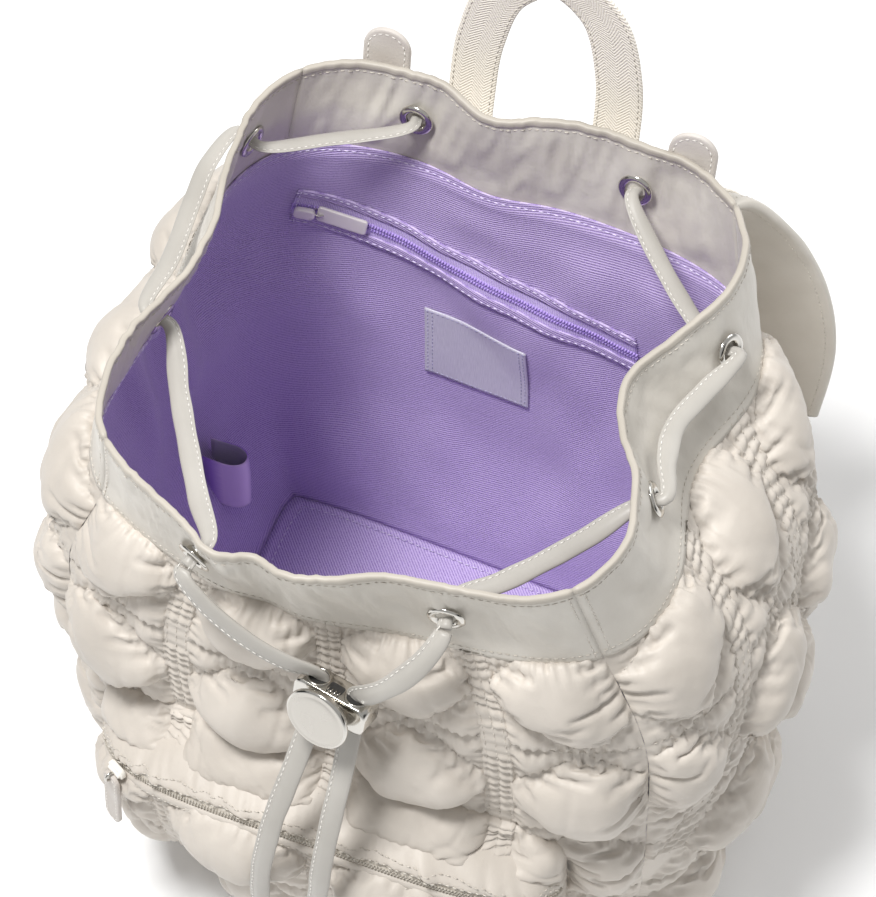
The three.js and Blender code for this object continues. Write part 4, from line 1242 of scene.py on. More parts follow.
def collar_piece(panel):
    reach = panel_reach(panel)
    t = np.linspace(-1, 1, int(round(2 * reach / COLLAR_STEP)))
    grid_t, grid_z = np.meshgrid(t, COLLAR_LEVELS)
    (low, high), (start, rise) = BINDING["edge"], BINDING["round"]
    bound = smoothstep(grid_z, RIM - low, RIM - high)
    top = np.clip((grid_z - (RIM - start)) / rise, 0, 1)
    rounded = (COLLAR / 2 + BINDING["swell"]) * np.sqrt(np.maximum(0.01, 1 - top ** 2))
    wide = np.where(top > 0, rounded, COLLAR / 2 + BINDING["swell"] * bound)
    near_corner = smoothstep(np.abs(grid_t) * reach, reach - COLLAR_CORNER["width"], reach)
    seam = COLLAR_CORNER["depth"] * near_corner
    soft = collar_softness(panel, grid_t, grid_z)
    outer = surface(panel, grid_t, grid_z, COLLAR / 2 + wide + soft - seam)
    inner = surface(panel, grid_t, grid_z, COLLAR / 2 - wide + soft + seam)
    mesh = wall_mesh("collar_cloth_" + panel, outer, inner, np.stack([grid_t * reach, grid_z], -1))
    # Faces of the bound rim on both sides, and the closing strips, take the darker rim nylon: painted shade
    # of the rolled edge.
    edge = np.zeros(len(mesh.polygons))
    spans = len(t) - 1
    bound_rows = int((COLLAR_LEVELS > RIM - BINDING["height"]).sum())
    count = spans * (len(COLLAR_LEVELS) - 1)
    for end in (count, 2 * count):
        edge[end - bound_rows * spans:end] = 1
    edge[2 * count:2 * count + 2 * spans] = 1
    two_finishes(mesh, COLLAR_NYLON, RIM_NYLON_SHADED, edge)
    piece = new_piece(mesh, None, ("collar_" + panel,))


def collar_stitches():
    rows = []
    upper, lower = RIM - COLLAR_STITCHES["below_rim"], COLLAR_SEAM + COLLAR_STITCHES["above_seam"]
    lift, end = COLLAR_STITCHES["lift"], COLLAR_STITCHES["reach"]
    for panel in PANELS:
        reach = panel_reach(panel)
        t = np.linspace(-end, end, int(2 * reach))
        for z in (upper, lower):
            level = np.full_like(t, z)
            soft = collar_softness(panel, t, level)
            normal = surface_normal(panel, t, level)
            rows.append((surface(panel, t, level, COLLAR + soft + lift), normal))
            if z == upper:
                rows.append((surface(panel, t, level, soft - lift), -normal))
        z = np.linspace(COLLAR_SEAM + 1, RIM - 5, 40)
        for side in (-1, 1):
            t = np.full_like(z, side * (1 - COLLAR_STITCHES["from_corner"] / reach))
            normal = surface_normal(panel, t, z)
            rows.append((surface(panel, t, z, COLLAR + lift), normal))
    bars("collar_stitches", rows, "collar")


for panel in PANELS:
    collar_piece(panel)
collar_stitches()


# Lining: twill walls with a stitched hem, and a floor with a sewn fold round it

LINING_OFFSET = -2.2
LINING_THICKNESS = 0.7
LINING_STEP = 3.7
LINING_TOP = 245.5
LINING_SETTLED = {"low": (9, 32), "high": (218, 236)}
LINING_BOXED = {"share": 0.8, "fades": (6, 90)}
HEM = {
    "turn": (238, 244), "out": 1.25, "thicker": 0.12, "swells": (236, 241), "rounds": 244.2,
    "stitch": 242.4, "stitch_lift": 0.22,
}
FLOOR_HEIGHT = 9
FLOOR_THICKNESS = 3
FLOOR_MIDDLE = (0, 2)
FLOOR_FOLD = {"at": 0.965, "width": 0.02, "height": 1.5, "stitch": 0.935, "stitch_lift": 0.75}
FLOOR_WAVES = {"height": 0.7, "length": 60}
SLIDER_AT = (0.76, 201)
SLIDER_CALM = {"share": 0.85, "reach": 34}
LEFT_LEAN = {"slope": 0.0009, "middle": 170, "grows": (90, 150)}
# place along the panel, depth, width
LEFT_FOLDS = ((-0.5, 11, 10), (-0.14, 8, 8), (0.35, 5, 13))


def lining_softness(panel, t, z):
    """Shift of the lining from its even place: soft folds, and straighter sides near the floor."""
    place = surface(panel, t, z, 0)
    broad = 2.6 * ripple(place * np.array([1, 1, 0.55]), 78, seed=8)
    soft = broad + 1.1 * ripple(place * np.array([1, 1, 0.7]), 33, seed=9) - 0.8
    soft = 0.9 - np.log1p(np.exp(2 * (0.9 - soft))) / 2
    settled = smoothstep(z, *LINING_SETTLED["low"]) * (1 - smoothstep(z, *LINING_SETTLED["high"]))
    if panel == "left":
        for at, deep, width in LEFT_FOLDS:
            lean = LEFT_LEAN["slope"] * (z - LEFT_LEAN["middle"])
            away = (np.asarray(t) - at - lean) * panel_reach(panel)
            soft = soft - deep * np.exp(-(away / width) ** 2) * smoothstep(z, *LEFT_LEAN["grows"])
    if panel == "back":
        away = (np.asarray(t) - SLIDER_AT[0]) * panel_reach(panel)
        near = np.exp(-(away ** 2 + (z - SLIDER_AT[1]) ** 2) / SLIDER_CALM["reach"] ** 2)
        settled = settled * (1 - SLIDER_CALM["share"] * near)
    row = section_at(np.asarray(z, float))
    n = row["squareness"]
    size = {"front": row["front"], "back": row["back"]}.get(panel, row["half_width"])
    bow = size * ((1 - 0.5 * np.abs(t) ** n) ** (1 / n) - 0.5 ** (1 / n))
    boxed = LINING_BOXED["share"] * bow * (1 - smoothstep(z, *LINING_BOXED["fades"]))
    return soft * settled - boxed


def lining_wall():
    levels = np.concatenate([np.linspace(FLOOR_HEIGHT - 1, 235, 60), np.linspace(235.8, LINING_TOP, 12)])
    outer, inner, uvs = [], [], []
    far = 0
    for panel in PANELS:
        reach = panel_reach(panel)
        t = np.linspace(-1, 1, int(round(2 * reach / LINING_STEP)))[:-1]
        grid_t, grid_z = np.meshgrid(t, levels)
        hem = HEM["thicker"] * smoothstep(grid_z, *HEM["swells"])
        hem = hem * (1 - 0.8 * smoothstep(grid_z, HEM["rounds"], LINING_TOP))
        shift = LINING_OFFSET + lining_softness(panel, grid_t, grid_z)
        shift = shift + HEM["out"] * smoothstep(grid_z, *HEM["turn"])
        outer.append(surface(panel, grid_t, grid_z, shift + LINING_THICKNESS))
        inner.append(surface(panel, grid_t, grid_z, shift - hem))
        uvs.append(np.stack([grid_t * reach + far + reach, grid_z], -1))
        far += 2 * reach
    outer, inner = np.concatenate(outer, 1), np.concatenate(inner, 1)
    mesh = wall_mesh("lining_cloth", outer, inner, np.concatenate(uvs, 1), True)
    wall = new_piece(mesh, LINING, ("lining_wall",))
    rows = []
    turned = float(smoothstep(np.array(HEM["stitch"]), *HEM["turn"]))
    shift = LINING_OFFSET + HEM["out"] * turned - HEM["stitch_lift"]
    for panel in PANELS:
        t = np.linspace(-1, 1, 160)
        z = np.full_like(t, HEM["stitch"])
        rows.append((surface(panel, t, z, shift), -surface_normal(panel, t, z)))
    bars("lining_hem_stitches", rows, "hem")


def floor_outline(offset, z, lined=False):
    """A closed outline of the bag at one height; with lined, it follows the lining's folds."""
    edges = []
    for panel in PANELS:
        t = np.linspace(-1, 1, 50)[:-1]
        level = np.full_like(t, z)
        shift = lining_softness(panel, t, level) if lined else 0
        edges.append(surface(panel, t, level, offset + shift))
    return np.concatenate(edges)


def lining_floor():
    rim = floor_outline(LINING_OFFSET + 0.6, FLOOR_HEIGHT, True)
    middle = np.array([*FLOOR_MIDDLE, FLOOR_HEIGHT])
    shares = np.concatenate([[0.0008], np.linspace(0.05, 0.9, 15), np.linspace(0.92, 1, 8)])
    grid = middle + (rim - middle) * shares[:, None, None]
    fold = np.exp(-((shares - FLOOR_FOLD["at"]) / FLOOR_FOLD["width"]) ** 2) * FLOOR_FOLD["height"]
    waves = FLOOR_WAVES["height"] * ripple(grid[..., :2], FLOOR_WAVES["length"], seed=14)
    waves = waves * (1 - shares[:, None] ** 6)
    grid[..., 2] = FLOOR_HEIGHT + waves + fold[:, None]
    grid = grid[::-1]
    low = grid.copy()
    low[..., 2] = FLOOR_HEIGHT - FLOOR_THICKNESS
    mesh = wall_mesh("lining_floor_cloth", grid, low, grid[..., :2], True)
    closed = bmesh.new()
    closed.from_mesh(mesh)
    centre = Vector(middle[:2]) * MM
    near = [vertex for vertex in closed.verts if (vertex.co.xy - centre).length < 0.001]
    bmesh.ops.remove_doubles(closed, verts=near, dist=0.0006)
    closed.to_mesh(mesh)
    closed.free()
    new_piece(turned_out(mesh), FLOOR_LINING, ("lining_base",))
    stitched = middle + (rim - middle) * FLOOR_FOLD["stitch"]
    stitched[:, 2] = FLOOR_HEIGHT + FLOOR_FOLD["stitch_lift"]
    ring = np.concatenate([stitched, stitched[:1]])
    bars("lining_floor_stitches", [(ring, np.array([0, 0, 1.0]))], "floor")


lining_wall()
lining_floor()


# Thin pieces sewn to the lining

def inside_patch(name, panel, finish, corners, thickness, lift, columns, rows, replaces):
    """A thin patch on the inside of a panel; corners give place and height at its two ends."""
    (t0, low0, high0), (t1, low1, high1) = corners
    s, v = np.meshgrid(np.linspace(0, 1, columns), np.linspace(0, 1, rows))
    t = t0 + (t1 - t0) * s
    z = (low0 + (low1 - low0) * s) * (1 - v) + (high0 + (high1 - high0) * s) * v
    base = LINING_OFFSET + lining_softness(panel, t, z) - lift
    far = route_length(surface(panel, t[0], z[0], 0))
    uv = np.stack([s * far, v * (high0 - low0)], -1)
    inner = surface(panel, t, z, base - thickness)
    outer = surface(panel, t, z, base)
    mesh = wall_mesh(name, outer, inner, uv)
    return new_piece(turned_out(mesh), finish, replaces), far


def inside_row(panel, ends, lift, count=120):
    """A straight row on the inside of a panel, for stitches or teeth."""
    (t0, z0), (t1, z1) = ends
    s = np.linspace(0, 1, count)
    t, z = t0 + (t1 - t0) * s, z0 + (z1 - z0) * s
    base = LINING_OFFSET + lining_softness(panel, t, z) - lift
    return surface(panel, t, z, base), -surface_normal(panel, t, z)


ZIP_ENDS = ((0.88, 204), (-0.44, 180))
ZIP_TEETH = {"rises": (-1.5, 0.5), "lift": 1.0}
ZIP_STITCHES = {"beside": 9.4, "lift": 1.5, "inset": 0.012}


def zip_at(rise):
    """The ends of a row that much above the inner zip's middle."""
    return tuple((t, z + rise) for t, z in ZIP_ENDS)


def inner_zip():
    (t0, z0), (t1, z1) = ZIP_ENDS
    for name, low, high, thickness, finish, replaces in (
        ("inner_zip_tape_cloth", -7.6, 7.6, 0.5, ZIP_TAPE, ("inner_zip_tape",)),
        ("inner_zip_lip_low", -11, -5.6, 1.1, LINING, ()),
        ("inner_zip_lip_high", 6.2, 11, 1.1, LINING, ()),
    ):
        corners = ((t0, z0 + low, z0 + high), (t1, z1 + low, z1 + high))
        inside_patch(name, "back", finish, corners, thickness, 0.3, 110, 6, replaces)
    teeth = [inside_row("back", zip_at(rise), ZIP_TEETH["lift"], 200) for rise in ZIP_TEETH["rises"]]
    bars("inner_zip_teeth", teeth, "inner_teeth")
    beside, lift = ZIP_STITCHES["beside"], ZIP_STITCHES["lift"]
    rows = [inside_row("back", zip_at(rise), lift, 200) for rise in (-beside, beside)]
    end = t0 - ZIP_STITCHES["inset"]
    rows.append(inside_row("back", ((end, z0 - beside), (end, z0 + beside)), lift))
    bars("inner_zip_stitches", rows, "inner_zip")


inner_zip()


# places along the back panel, and heights
LABEL_EDGES = {"across": (0.38, -0.03), "up": (118, 158)}
LABEL_ROWS = {"across": (0.37, -0.02), "up": (119.4, 156.6), "upright": (0.368, 0.35, -0.018, -0.003)}
LABEL_STITCH_LIFT = 1.28


def inner_label():
    corners = [(t, *LABEL_EDGES["up"]) for t in LABEL_EDGES["across"]]
    piece, far = inside_patch("label_cloth", "back", LABEL, corners, 0.7, 0.5, 40, 30,
                              ("inner_label",))
    (first, last), (low, high) = LABEL_ROWS["across"], LABEL_ROWS["up"]
    level = [((first, z), (last, z)) for z in (low, high)]
    upright = [((t, low), (t, high)) for t in LABEL_ROWS["upright"]]
    rows = [inside_row("back", ends, LABEL_STITCH_LIFT) for ends in level + upright]
    bars("label_stitches", rows, "label")


inner_label()


def care_loop():
    """A ribbon folded into a loop, its two ends caught in the lining seam."""
    low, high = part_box("care_loop")
    low, high = np.array(low) / MM, np.array(high) / MM
    middle_y, half = (low[1] + high[1]) / 2, (high[1] - low[1]) / 2 - 0.5
    turn = np.linspace(-0.5 * math.pi, 0.5 * math.pi, 40)
    reach = high[0] - low[0]
    x = low[0] + reach * np.cos(turn) ** 0.6
    y = middle_y + half * np.sin(turn) * (0.75 + 0.25 * np.cos(turn))
    levels = np.linspace(low[2], high[2], 26)
    grid_x, grid_z = np.meshgrid(x, levels)
    grid_y = np.repeat(y[None], len(levels), 0)
    bend = 1.1 * np.sin((grid_z - low[2]) / 13) * np.cos(turn)
    outer = np.stack([np.minimum(grid_x + bend * 0.4, high[0] + 0.6), grid_y + bend * 0.5, grid_z], -1)
    middle = np.array([low[0], middle_y, 0])
    inward = unit((middle - outer) * np.array([1, 1, 0])) * 0.7
    far = distances(outer[0])
    uv = np.stack([grid_z, np.repeat(far[None], len(levels), 0)], -1)
    mesh = turned_out(wall_mesh("care_ribbon", outer, outer + inward, uv))
    faces = (len(levels) - 1) * (len(turn) - 1)
    within = np.zeros(len(mesh.polygons))
    within[faces:2 * faces] = 1
    two_finishes(mesh, SATIN, LABEL, within)
    piece = new_piece(mesh, None, ("care_loop",))


care_loop()


# Metal and leather fittings

def rounded_outline(width, length, corner, count=12):
    """Corner arcs of a rounded rectangle, anticlockwise."""
    corner = min(corner, width / 2 - 0.01, length / 2 - 0.01)
    turn = np.linspace(0, math.pi / 2, count)
    arc = np.stack([np.cos(turn), np.sin(turn)], -1) * corner
    points = []
    for quarter, (sx, sy) in enumerate(((1, 1), (-1, 1), (-1, -1), (1, -1))):
        angle = quarter * math.pi / 2
        c, s = math.cos(angle), math.sin(angle)
        middle = np.array([sx * (width / 2 - corner), sy * (length / 2 - corner)])
        points.append(arc @ np.array([[c, s], [-s, c]]) + middle)
    return np.concatenate(points)


def plate_mesh(name, width, length, thickness, corner, place, edge=0.35, dome=0.0):
    """A plate with rounded corners and softened edges, centred on its place."""
    outline = rounded_outline(width, length, corner)
    count = len(outline)
    half = thickness / 2
    rings = []
    for inset, z in (
        (edge * 2.2, -half), (edge * 0.3, -half + edge * 0.3), (0, -half + edge), (0, half - edge),
        (edge * 0.3, half - edge * 0.3), (edge * 2.2, half),
    ):
        shrink = np.array([1 - 2 * inset / width, 1 - 2 * inset / length])
        rings.append(np.column_stack([outline * shrink, np.full(count, z)]))
    for share in (0.7, 0.35):
        shrink = np.array([1 - 4.4 * edge / width, 1 - 4.4 * edge / length]) * share
        rings.append(np.column_stack([outline * shrink, np.full(count, half + dome * (1 - share * share))]))
    return turned_out(make_mesh(name, moved(np.array(rings), place), tube_faces(len(rings), count)))


def pole_mesh(name, profile, segments, place):
    """A turned solid whose profile starts and ends on its axis."""
    profile = np.asarray(profile, float)
    rings = turned_rings(profile[1:-1], segments)
    poles = np.array([(0, 0, profile[0, 1]), (0, 0, profile[-1, 1])])
    count = rings.shape[0] * segments
    faces = grid_faces(len(rings), segments, True)
    last = count - segments
    for i in range(segments):
        j = (i + 1) % segments
        faces.append([count, j, i])
        faces.append([count + 1, last + i, last + j])
    points = np.concatenate([rings.reshape(-1, 3), poles])
    return turned_out(make_mesh(name, moved(points, place), faces))


BAG_MIDDLE = (-6, 0)


def node_place(node):
    """Placing matrix of a packed plate: X its middle size, Y its longest, Z its thinnest; and the sizes."""
    points = node_points(node)
    mean = points.mean(0)
    _, _, axes = np.linalg.svd(points - mean, full_matrices=False)
    local = (points - mean) @ axes.T
    low, high = local.min(0), local.max(0)
    middle = mean + (low + high) / 2 @ axes
    long, thin = axes[0], axes[2]
    if long[2] < 0 or (abs(long[2]) < 0.3 and long[0] < 0):
        long = -long
    out = middle - np.array([*BAG_MIDDLE, middle[2]])
    if thin @ out < 0:
        thin = -thin
    cross = np.cross(long, thin)
    matrix = Matrix((cross, long, thin)).transposed().to_4x4()
    matrix.translation = Vector(middle)
    size = high - low
    return matrix, (size[1], size[0], size[2])


def outline_stitches(width, length, corner, inset, height, place):
    """A path round a plate, inside its edge, and the direction that it faces."""
    outline = rounded_outline(width - 2 * inset, length - 2 * inset, max(corner - inset, 0.6))
    ring = np.concatenate([outline, outline[:1]])
    points = moved(np.column_stack([ring, np.full(len(ring), height)]), place)
    return points, np.array(place)[:3, 2]


EYELET_PROFILE = (
    (3.95, -1.2), (4.2, -2.1), (4.9, -2.75), (5.9, -2.9), (6.9, -2.6), (7.45, -2.0), (7.4, -1.7),
    (6.6, -1.72), (4.75, -1.75), (4.7, 0), (4.75, 1.75), (6.6, 1.72), (7.4, 1.7), (7.45, 2.0),
    (6.9, 2.6), (5.9, 2.9), (4.9, 2.75), (4.2, 2.1), (3.95, 1.2), (3.9, 0),
)


def eyelet_piece(node):
    middle, axis = EYELET_PLACES[node]
    mesh = lathe_mesh(node + "_ring", EYELET_PROFILE, 40, frame_from(middle, (0, 0, 1), axis))
    new_piece(mesh, NICKEL, (node,))


for node in EYELET_NODES:
    eyelet_piece(node)


# Cord lock: a housing with two cord holes, and a button that is pressed in to let the cords run

LOCK = (Matrix.Translation((1.7, -133, 223)) @ Matrix.Rotation(math.radians(-12), 4, "Z")
        @ Matrix.Rotation(math.radians(-15), 4, "X"))
BUTTON_PROFILE = (
    (0, -8.75), (4, -8.73), (8, -8.65), (10.6, -8.55), (11.1, -8.35), (11.5, -8.5), (12.5, -8.5),
    (13.1, -8.3), (13.45, -7.8), (13.5, -7.2), (13.45, -6.7), (13.1, -6.3), (12.4, -5.9), (11.7, -5.65),
    (11.6, -5.0), (11.5, -4.3), (10.8, -3.85), (6, -3.8), (3.2, -3.8), (3.1, -3.4), (3.1, 3.9),
    (2.6, 4.5), (0, 4.5),
)
BUTTON_SEGMENTS = 72
BUTTON_RIM = (5, 20)
LOCK_SIZE = {"width": 32, "height": 13, "depth": 11, "corner": 4, "edge": 0.7}
LIP_PROFILE = ((3.75, -0.3), (3.8, 0.3), (4.2, 0.55), (4.7, 0.35), (4.85, -0.2), (4.3, -0.4))
HOLE_OUT = 8.5
HOLE_WIDTH = 7.6
INLAY = {"thickness": 0.3, "edge": 0.04}
WINDOW = {"place": (0, 4.6, 6.45), "width": 6.4, "length": 4.6, "corner": 1.2}
SPRING_PATH = ((-2.4, -2, 0.3), (2.4, -2, 0.3))


def lock_pieces():
    deep, high = LOCK_SIZE["depth"] / 2, LOCK_SIZE["height"] / 2
    turned = Matrix(((1, 0, 0, 0), (0, 0, -1, deep), (0, 1, 0, 0), (0, 0, 0, 1)))
    housing = plate_mesh("lock_housing", LOCK_SIZE["width"], LOCK_SIZE["height"], LOCK_SIZE["depth"],
                         LOCK_SIZE["corner"], LOCK @ turned, LOCK_SIZE["edge"])
    new_piece(housing, NICKEL, ("lock_body",))
    # Dark discs in the cord holes and a dark plate behind the window are painted shade for the hollows.
    thin, edge = INLAY["thickness"], INLAY["edge"]
    for side, x in (("left", -HOLE_OUT), ("right", HOLE_OUT)):
        for end, up, flip in (("top", 1, 0), ("bottom", -1, math.pi)):
            place = LOCK @ Matrix.Translation((x, deep, up * high)) @ Matrix.Rotation(flip, 4, "X")
            name = f"lock_{side}_{end}"
            new_piece(lathe_mesh(name + "_lip", LIP_PROFILE, 28, place), NICKEL)
            hole_shade = plate_mesh(name + "_hole", HOLE_WIDTH, HOLE_WIDTH, thin, HOLE_WIDTH / 2, place, edge)
            new_piece(hole_shade, LOCK_SHADE)
    place = LOCK @ Matrix.Translation(WINDOW["place"])
    window_shade = plate_mesh("lock_window_shade", WINDOW["width"], WINDOW["length"], thin, WINDOW["corner"],
                        place, edge)
    new_piece(window_shade, LOCK_SHADE)
    bars("lock_spring", [(moved(np.array(SPRING_PATH), place), np.array(place)[:3, 2])], "spring")
    axis = LOCK @ Matrix.Rotation(math.radians(-90), 4, "X")
    button = pole_mesh("lock_button_disc", BUTTON_PROFILE, BUTTON_SEGMENTS, axis)
    row = np.arange(len(button.polygons)) // BUTTON_SEGMENTS
    two_finishes(button, DISC, NICKEL, (row >= BUTTON_RIM[0]) & (row < BUTTON_RIM[1]))
    new_piece(button, None, ("lock_button",), BUTTON)


lock_pieces()


# Pocket on the front: a rolled band over its zip

BAND = {"low": 2.6, "high": 10.5, "lift": 1.7, "rolled": 5.2, "rough": 2.0}


def roll_height(u, v, z, rolled, rough):
    """Height of a strip's roll and wrinkles; v is 0 at its lower edge and 1 at its upper one."""
    folds = np.stack([pocket_t(u) * FRONT_REACH + 0.6 * z, z * 0.5], -1)
    wrinkle = 0.6 * ripple(folds, 17, seed=61) + 0.9 * np.abs(ripple(folds, 8, seed=62)) - 0.45
    bulge = rolled * np.sin(math.pi * v) ** 0.6 * (1 - u ** 12)
    return bulge + rough * wrinkle * np.sin(math.pi * v) ** 0.5


def pocket_strip(name, low, high, lift, finish, replaces, rows,
                 rolled=0.0, rough=0.0, thickness=1.5):
    """A strip along the pocket's zip, between two heights from the zip's line."""
    u, v = np.meshgrid(np.linspace(-1, 1, 190), np.linspace(0, 1, rows))
    t = pocket_t(u)
    z = zip_line(u) + low + (high - low) * v
    off = POCKET_LIFT + pocket_depth(u, z) + lift + roll_height(u, v, z, rolled, rough)
    uv = np.stack([t * FRONT_REACH, z], -1)
    mesh = wall_mesh(name, surface("front", t, z, off), surface("front", t, z, off - thickness), uv)
    return new_piece(turned_out(mesh), finish, replaces)


def band_row(share):
    """A row on the rolled band, at a share of the way up it."""
    u = np.linspace(-0.97, 0.97, 300)
    t = pocket_t(u)
    z = zip_line(u) + BAND["low"] + (BAND["high"] - BAND["low"]) * share
    roll = roll_height(u, np.full_like(u, share), z, BAND["rolled"], BAND["rough"])
    off = POCKET_LIFT + pocket_depth(u, z) + BAND["lift"] + roll + 0.5
    return surface("front", t, z, off), surface_normal("front", t, z) + np.array([0, 0, 1.2])


def pocket_row(rise, lift):
    """A row along the pocket's zip, at a height from the zip's line."""
    u = np.linspace(-0.985, 0.985, 260)
    t = pocket_t(u)
    z = zip_line(u) + rise
    off = POCKET_LIFT + pocket_depth(u, z) + lift
    return surface("front", t, z, off), surface_normal("front", t, z)


def pocket_pieces():
    band = pocket_strip("pocket_band_cloth", BAND["low"], BAND["high"], BAND["lift"], NYLON,
                        ("pocket_band",), 24, BAND["rolled"], BAND["rough"], 2.4)
    pocket_strip("pocket_lower_binding", -7.5, -2.2, 2.2, NYLON, (), 8, 1.3, 0.3)
    pocket_strip("pocket_tape", -2.8, 3.2, 1.5, THREAD, ("pocket_zip_tape",), 6)
    teeth = [pocket_row(rise, 1.75) for rise in (-0.8, 0.8)]
    bars("pocket_zip_teeth", teeth, "pocket_teeth")
    rows = [pocket_row(-5, 3.7), band_row(0.16), band_row(0.42)]
    bars("pocket_stitches", rows, "pocket")


pocket_pieces()


PULL_RING = {"radius": 2.3, "wire": 0.6}


def slider_pieces(prefix, pull_finish, pull_slot):
    """A zip's slider with its bridge, and the pull that hangs on it by a ring."""
    place, (wide, long, thick) = node_place(prefix + "_slider")
    body = plate_mesh(prefix + "_slider_body", wide, long, thick * 0.7, 2.2, place, 0.4, 0.3)
    new_piece(body, PULL, (prefix + "_slider",))
    over = place @ Matrix.Translation((0, 0, thick * 0.45))
    bridge = plate_mesh(prefix + "_slider_bridge", 2.2, long * 0.8, 1.5, 1, over, 0.35)
    new_piece(bridge, PULL)
    slider = place.translation.copy()
    place, (wide, long, thick) = node_place(prefix + "_pull")
    corner = 1.4 if pull_slot == "nickel" else wide / 2 - 0.2
    tag = plate_mesh(prefix + "_pull_tag", wide, long, thick, corner, place, 0.3)
    new_piece(tag, pull_finish, (prefix + "_pull",))
    along = place.col[1].to_3d()
    if along.dot(slider - place.translation) < 0:
        along = -along
    near = place.translation + along * (long / 2 - 0.6) + place.col[2].to_3d() * (thick * 0.3)
    turn = np.linspace(0, 2 * math.pi, 10, endpoint=False)
    radius, wire = PULL_RING["radius"], PULL_RING["wire"]
    section = np.column_stack([radius + wire * np.cos(turn), wire * np.sin(turn)])
    ring = lathe_mesh(prefix + "_pull_ring", section, 26, frame_from(near, along, place.col[0].to_3d()))
    new_piece(ring, NICKEL)
    if pull_slot == "leather":
        row = outline_stitches(wide, long, corner, 1.4, thick / 2 + 0.05, place)
        bars(prefix + "_pull_stitches", [row], "pull")


slider_pieces("inner_zip", PULL, "nickel")
slider_pieces("pocket_zip", LEATHER, "leather")


# Carrying: webbing handle, padded straps, leather tabs, adjusters and webbing tails

WEBBING_WIDTH = 20
HANDLE_FEET = {"places": (0.29, -0.29), "height": 240.0, "off": 6.2}
HANDLE_EDGE = 8.3
HANDLE_STITCH_LIFT = {"edge": 1.05, "across": 1.1, "cross": 1.15}
# sewn boxes at the handle's ends, counted in points along it
HANDLE_BOXES = ((2, 9), (-3, -10))
HANDLE_BOX_ROWS = (2, 9, -10, -3)
HANDLE_BOX_HALF = {"across": 7.6, "cross": 7}
STRAP_SEAT = {"place": 0.64, "height": 240.0, "off": 6.0, "clear": 2.4}
STRAP_PAD = {"width": 46, "narrowing": 11, "thickness": 6.2, "uneven": 0.5, "puff": 3.4, "inset": 4.2}
STRAP_STEP = 2.0
RIBBON_EDGE = 8.2
# width and thickness of the frame and the bar
ADJUSTER = {"frame": (3, 3.2), "bar": (4, 2.8), "corner": 2.5, "bar_inset": 2}
TAIL = {"place": 0.72, "foot": (20.0, 6.5), "hem": (11.0, 0.5), "slack": 5}
# out from the middle, behind it, height
HANDLE_ARCH = ((31, 127, 275), (29, 132, 305), (20, 135, 332), (0, 136, 345))
STRAP_ROUTE = (
    (59.5, 0, 237), (60, 5, 245), (62, 12, 253), (68, 22, 250), (81, 33, 226), (94, 40, 190),
    (104, 38, 150), (105, 30, 110),
)


def handle():
    foot_height, off = np.array(HANDLE_FEET["height"]), HANDLE_FEET["off"]
    feet = [surface("back", np.array(place), foot_height, off) for place in HANDLE_FEET["places"]]
    centre = MOUTH_MIDDLE[0]
    left = [(centre - out, behind, height) for out, behind, height in HANDLE_ARCH]
    right = [(centre + out, behind, height) for out, behind, height in HANDLE_ARCH[-2::-1]]
    line = smooth_route([feet[0], *left, *right, feet[1]], 2)
    hints = np.repeat([[0, 1.0, 0.05]], len(line), 0)
    side, face = route_frames(line, hints)
    mesh = band_mesh("handle_webbing", line, side, face, WEBBING_WIDTH, 2.1, 22, 5)
    new_piece(mesh, WEBBING, ("top_handle",))
    rows = []
    lift, half = HANDLE_STITCH_LIFT, HANDLE_BOX_HALF
    for level in (1, -1):
        for offset in (-HANDLE_EDGE, HANDLE_EDGE):
            rows.append((line + side * offset + face * level * lift["edge"], face * level))
        for place in HANDLE_BOX_ROWS:
            across = np.linspace(-half["across"], half["across"], 12)[:, None] * side[place]
            rows.append((line[place] + across + face[place] * level * lift["across"], face[place] * level))
        for start, end in HANDLE_BOXES:
            for way in (-1, 1):
                share = np.linspace(-1, 1, 14)[:, None]
                middle = (line[start] + line[end]) / 2
                slant = share * way * half["cross"] * side[start]
                run = middle + share * (line[end] - line[start]) / 2 + slant
                rows.append((run + face[start] * level * lift["cross"], face[start] * level))
    bars("handle_stitches", rows, "handle")


handle()


def shoulder_strap(sign, side):
    place, seat_height = np.array(-sign * STRAP_SEAT["place"]), np.array(STRAP_SEAT["height"])
    seat = surface("back", place, seat_height, STRAP_SEAT["off"])
    points = []
    for out, behind, height in STRAP_ROUTE:
        shift = float(section_at(np.array(float(height)))["shift"])
        points.append((shift + sign * out, seat[1] + STRAP_SEAT["clear"] + behind, height))
    line = smooth_route(points, STRAP_STEP)
    hints = np.cross(np.gradient(line, axis=0), np.array([1.0, 0, 0]))
    across, face = route_frames(line, unit(hints))
    share = np.linspace(-1, 1, len(line))
    width = STRAP_PAD["width"] - STRAP_PAD["narrowing"] * share ** 2
    far = np.arange(len(line)) * STRAP_STEP
    pad = STRAP_PAD["thickness"] + STRAP_PAD["uneven"] * ripple(far[:, None], 26, seed=71)
    puff = STRAP_PAD["puff"]
    mesh = band_mesh(f"strap_pad_{side}", line, across, face, width, pad, 40, puff)
    piece = new_piece(mesh, COLLAR_NYLON, (f"shoulder_strap_{side}",))
    rows = []
    for level in (1, -1):
        for edge in (-1, 1):
            offset = edge * (width / 2 - STRAP_PAD["inset"])
            rise = level * (pad / 2) * (1 - (np.abs(offset) / (width / 2)) ** puff) ** (1 / puff)
            rows.append((line + across * offset[:, None] + face * rise[:, None], face * level))
    bars(f"strap_stitches_{side}", rows, "strap")
    strap_ribbon(side, line, across, face, pad)


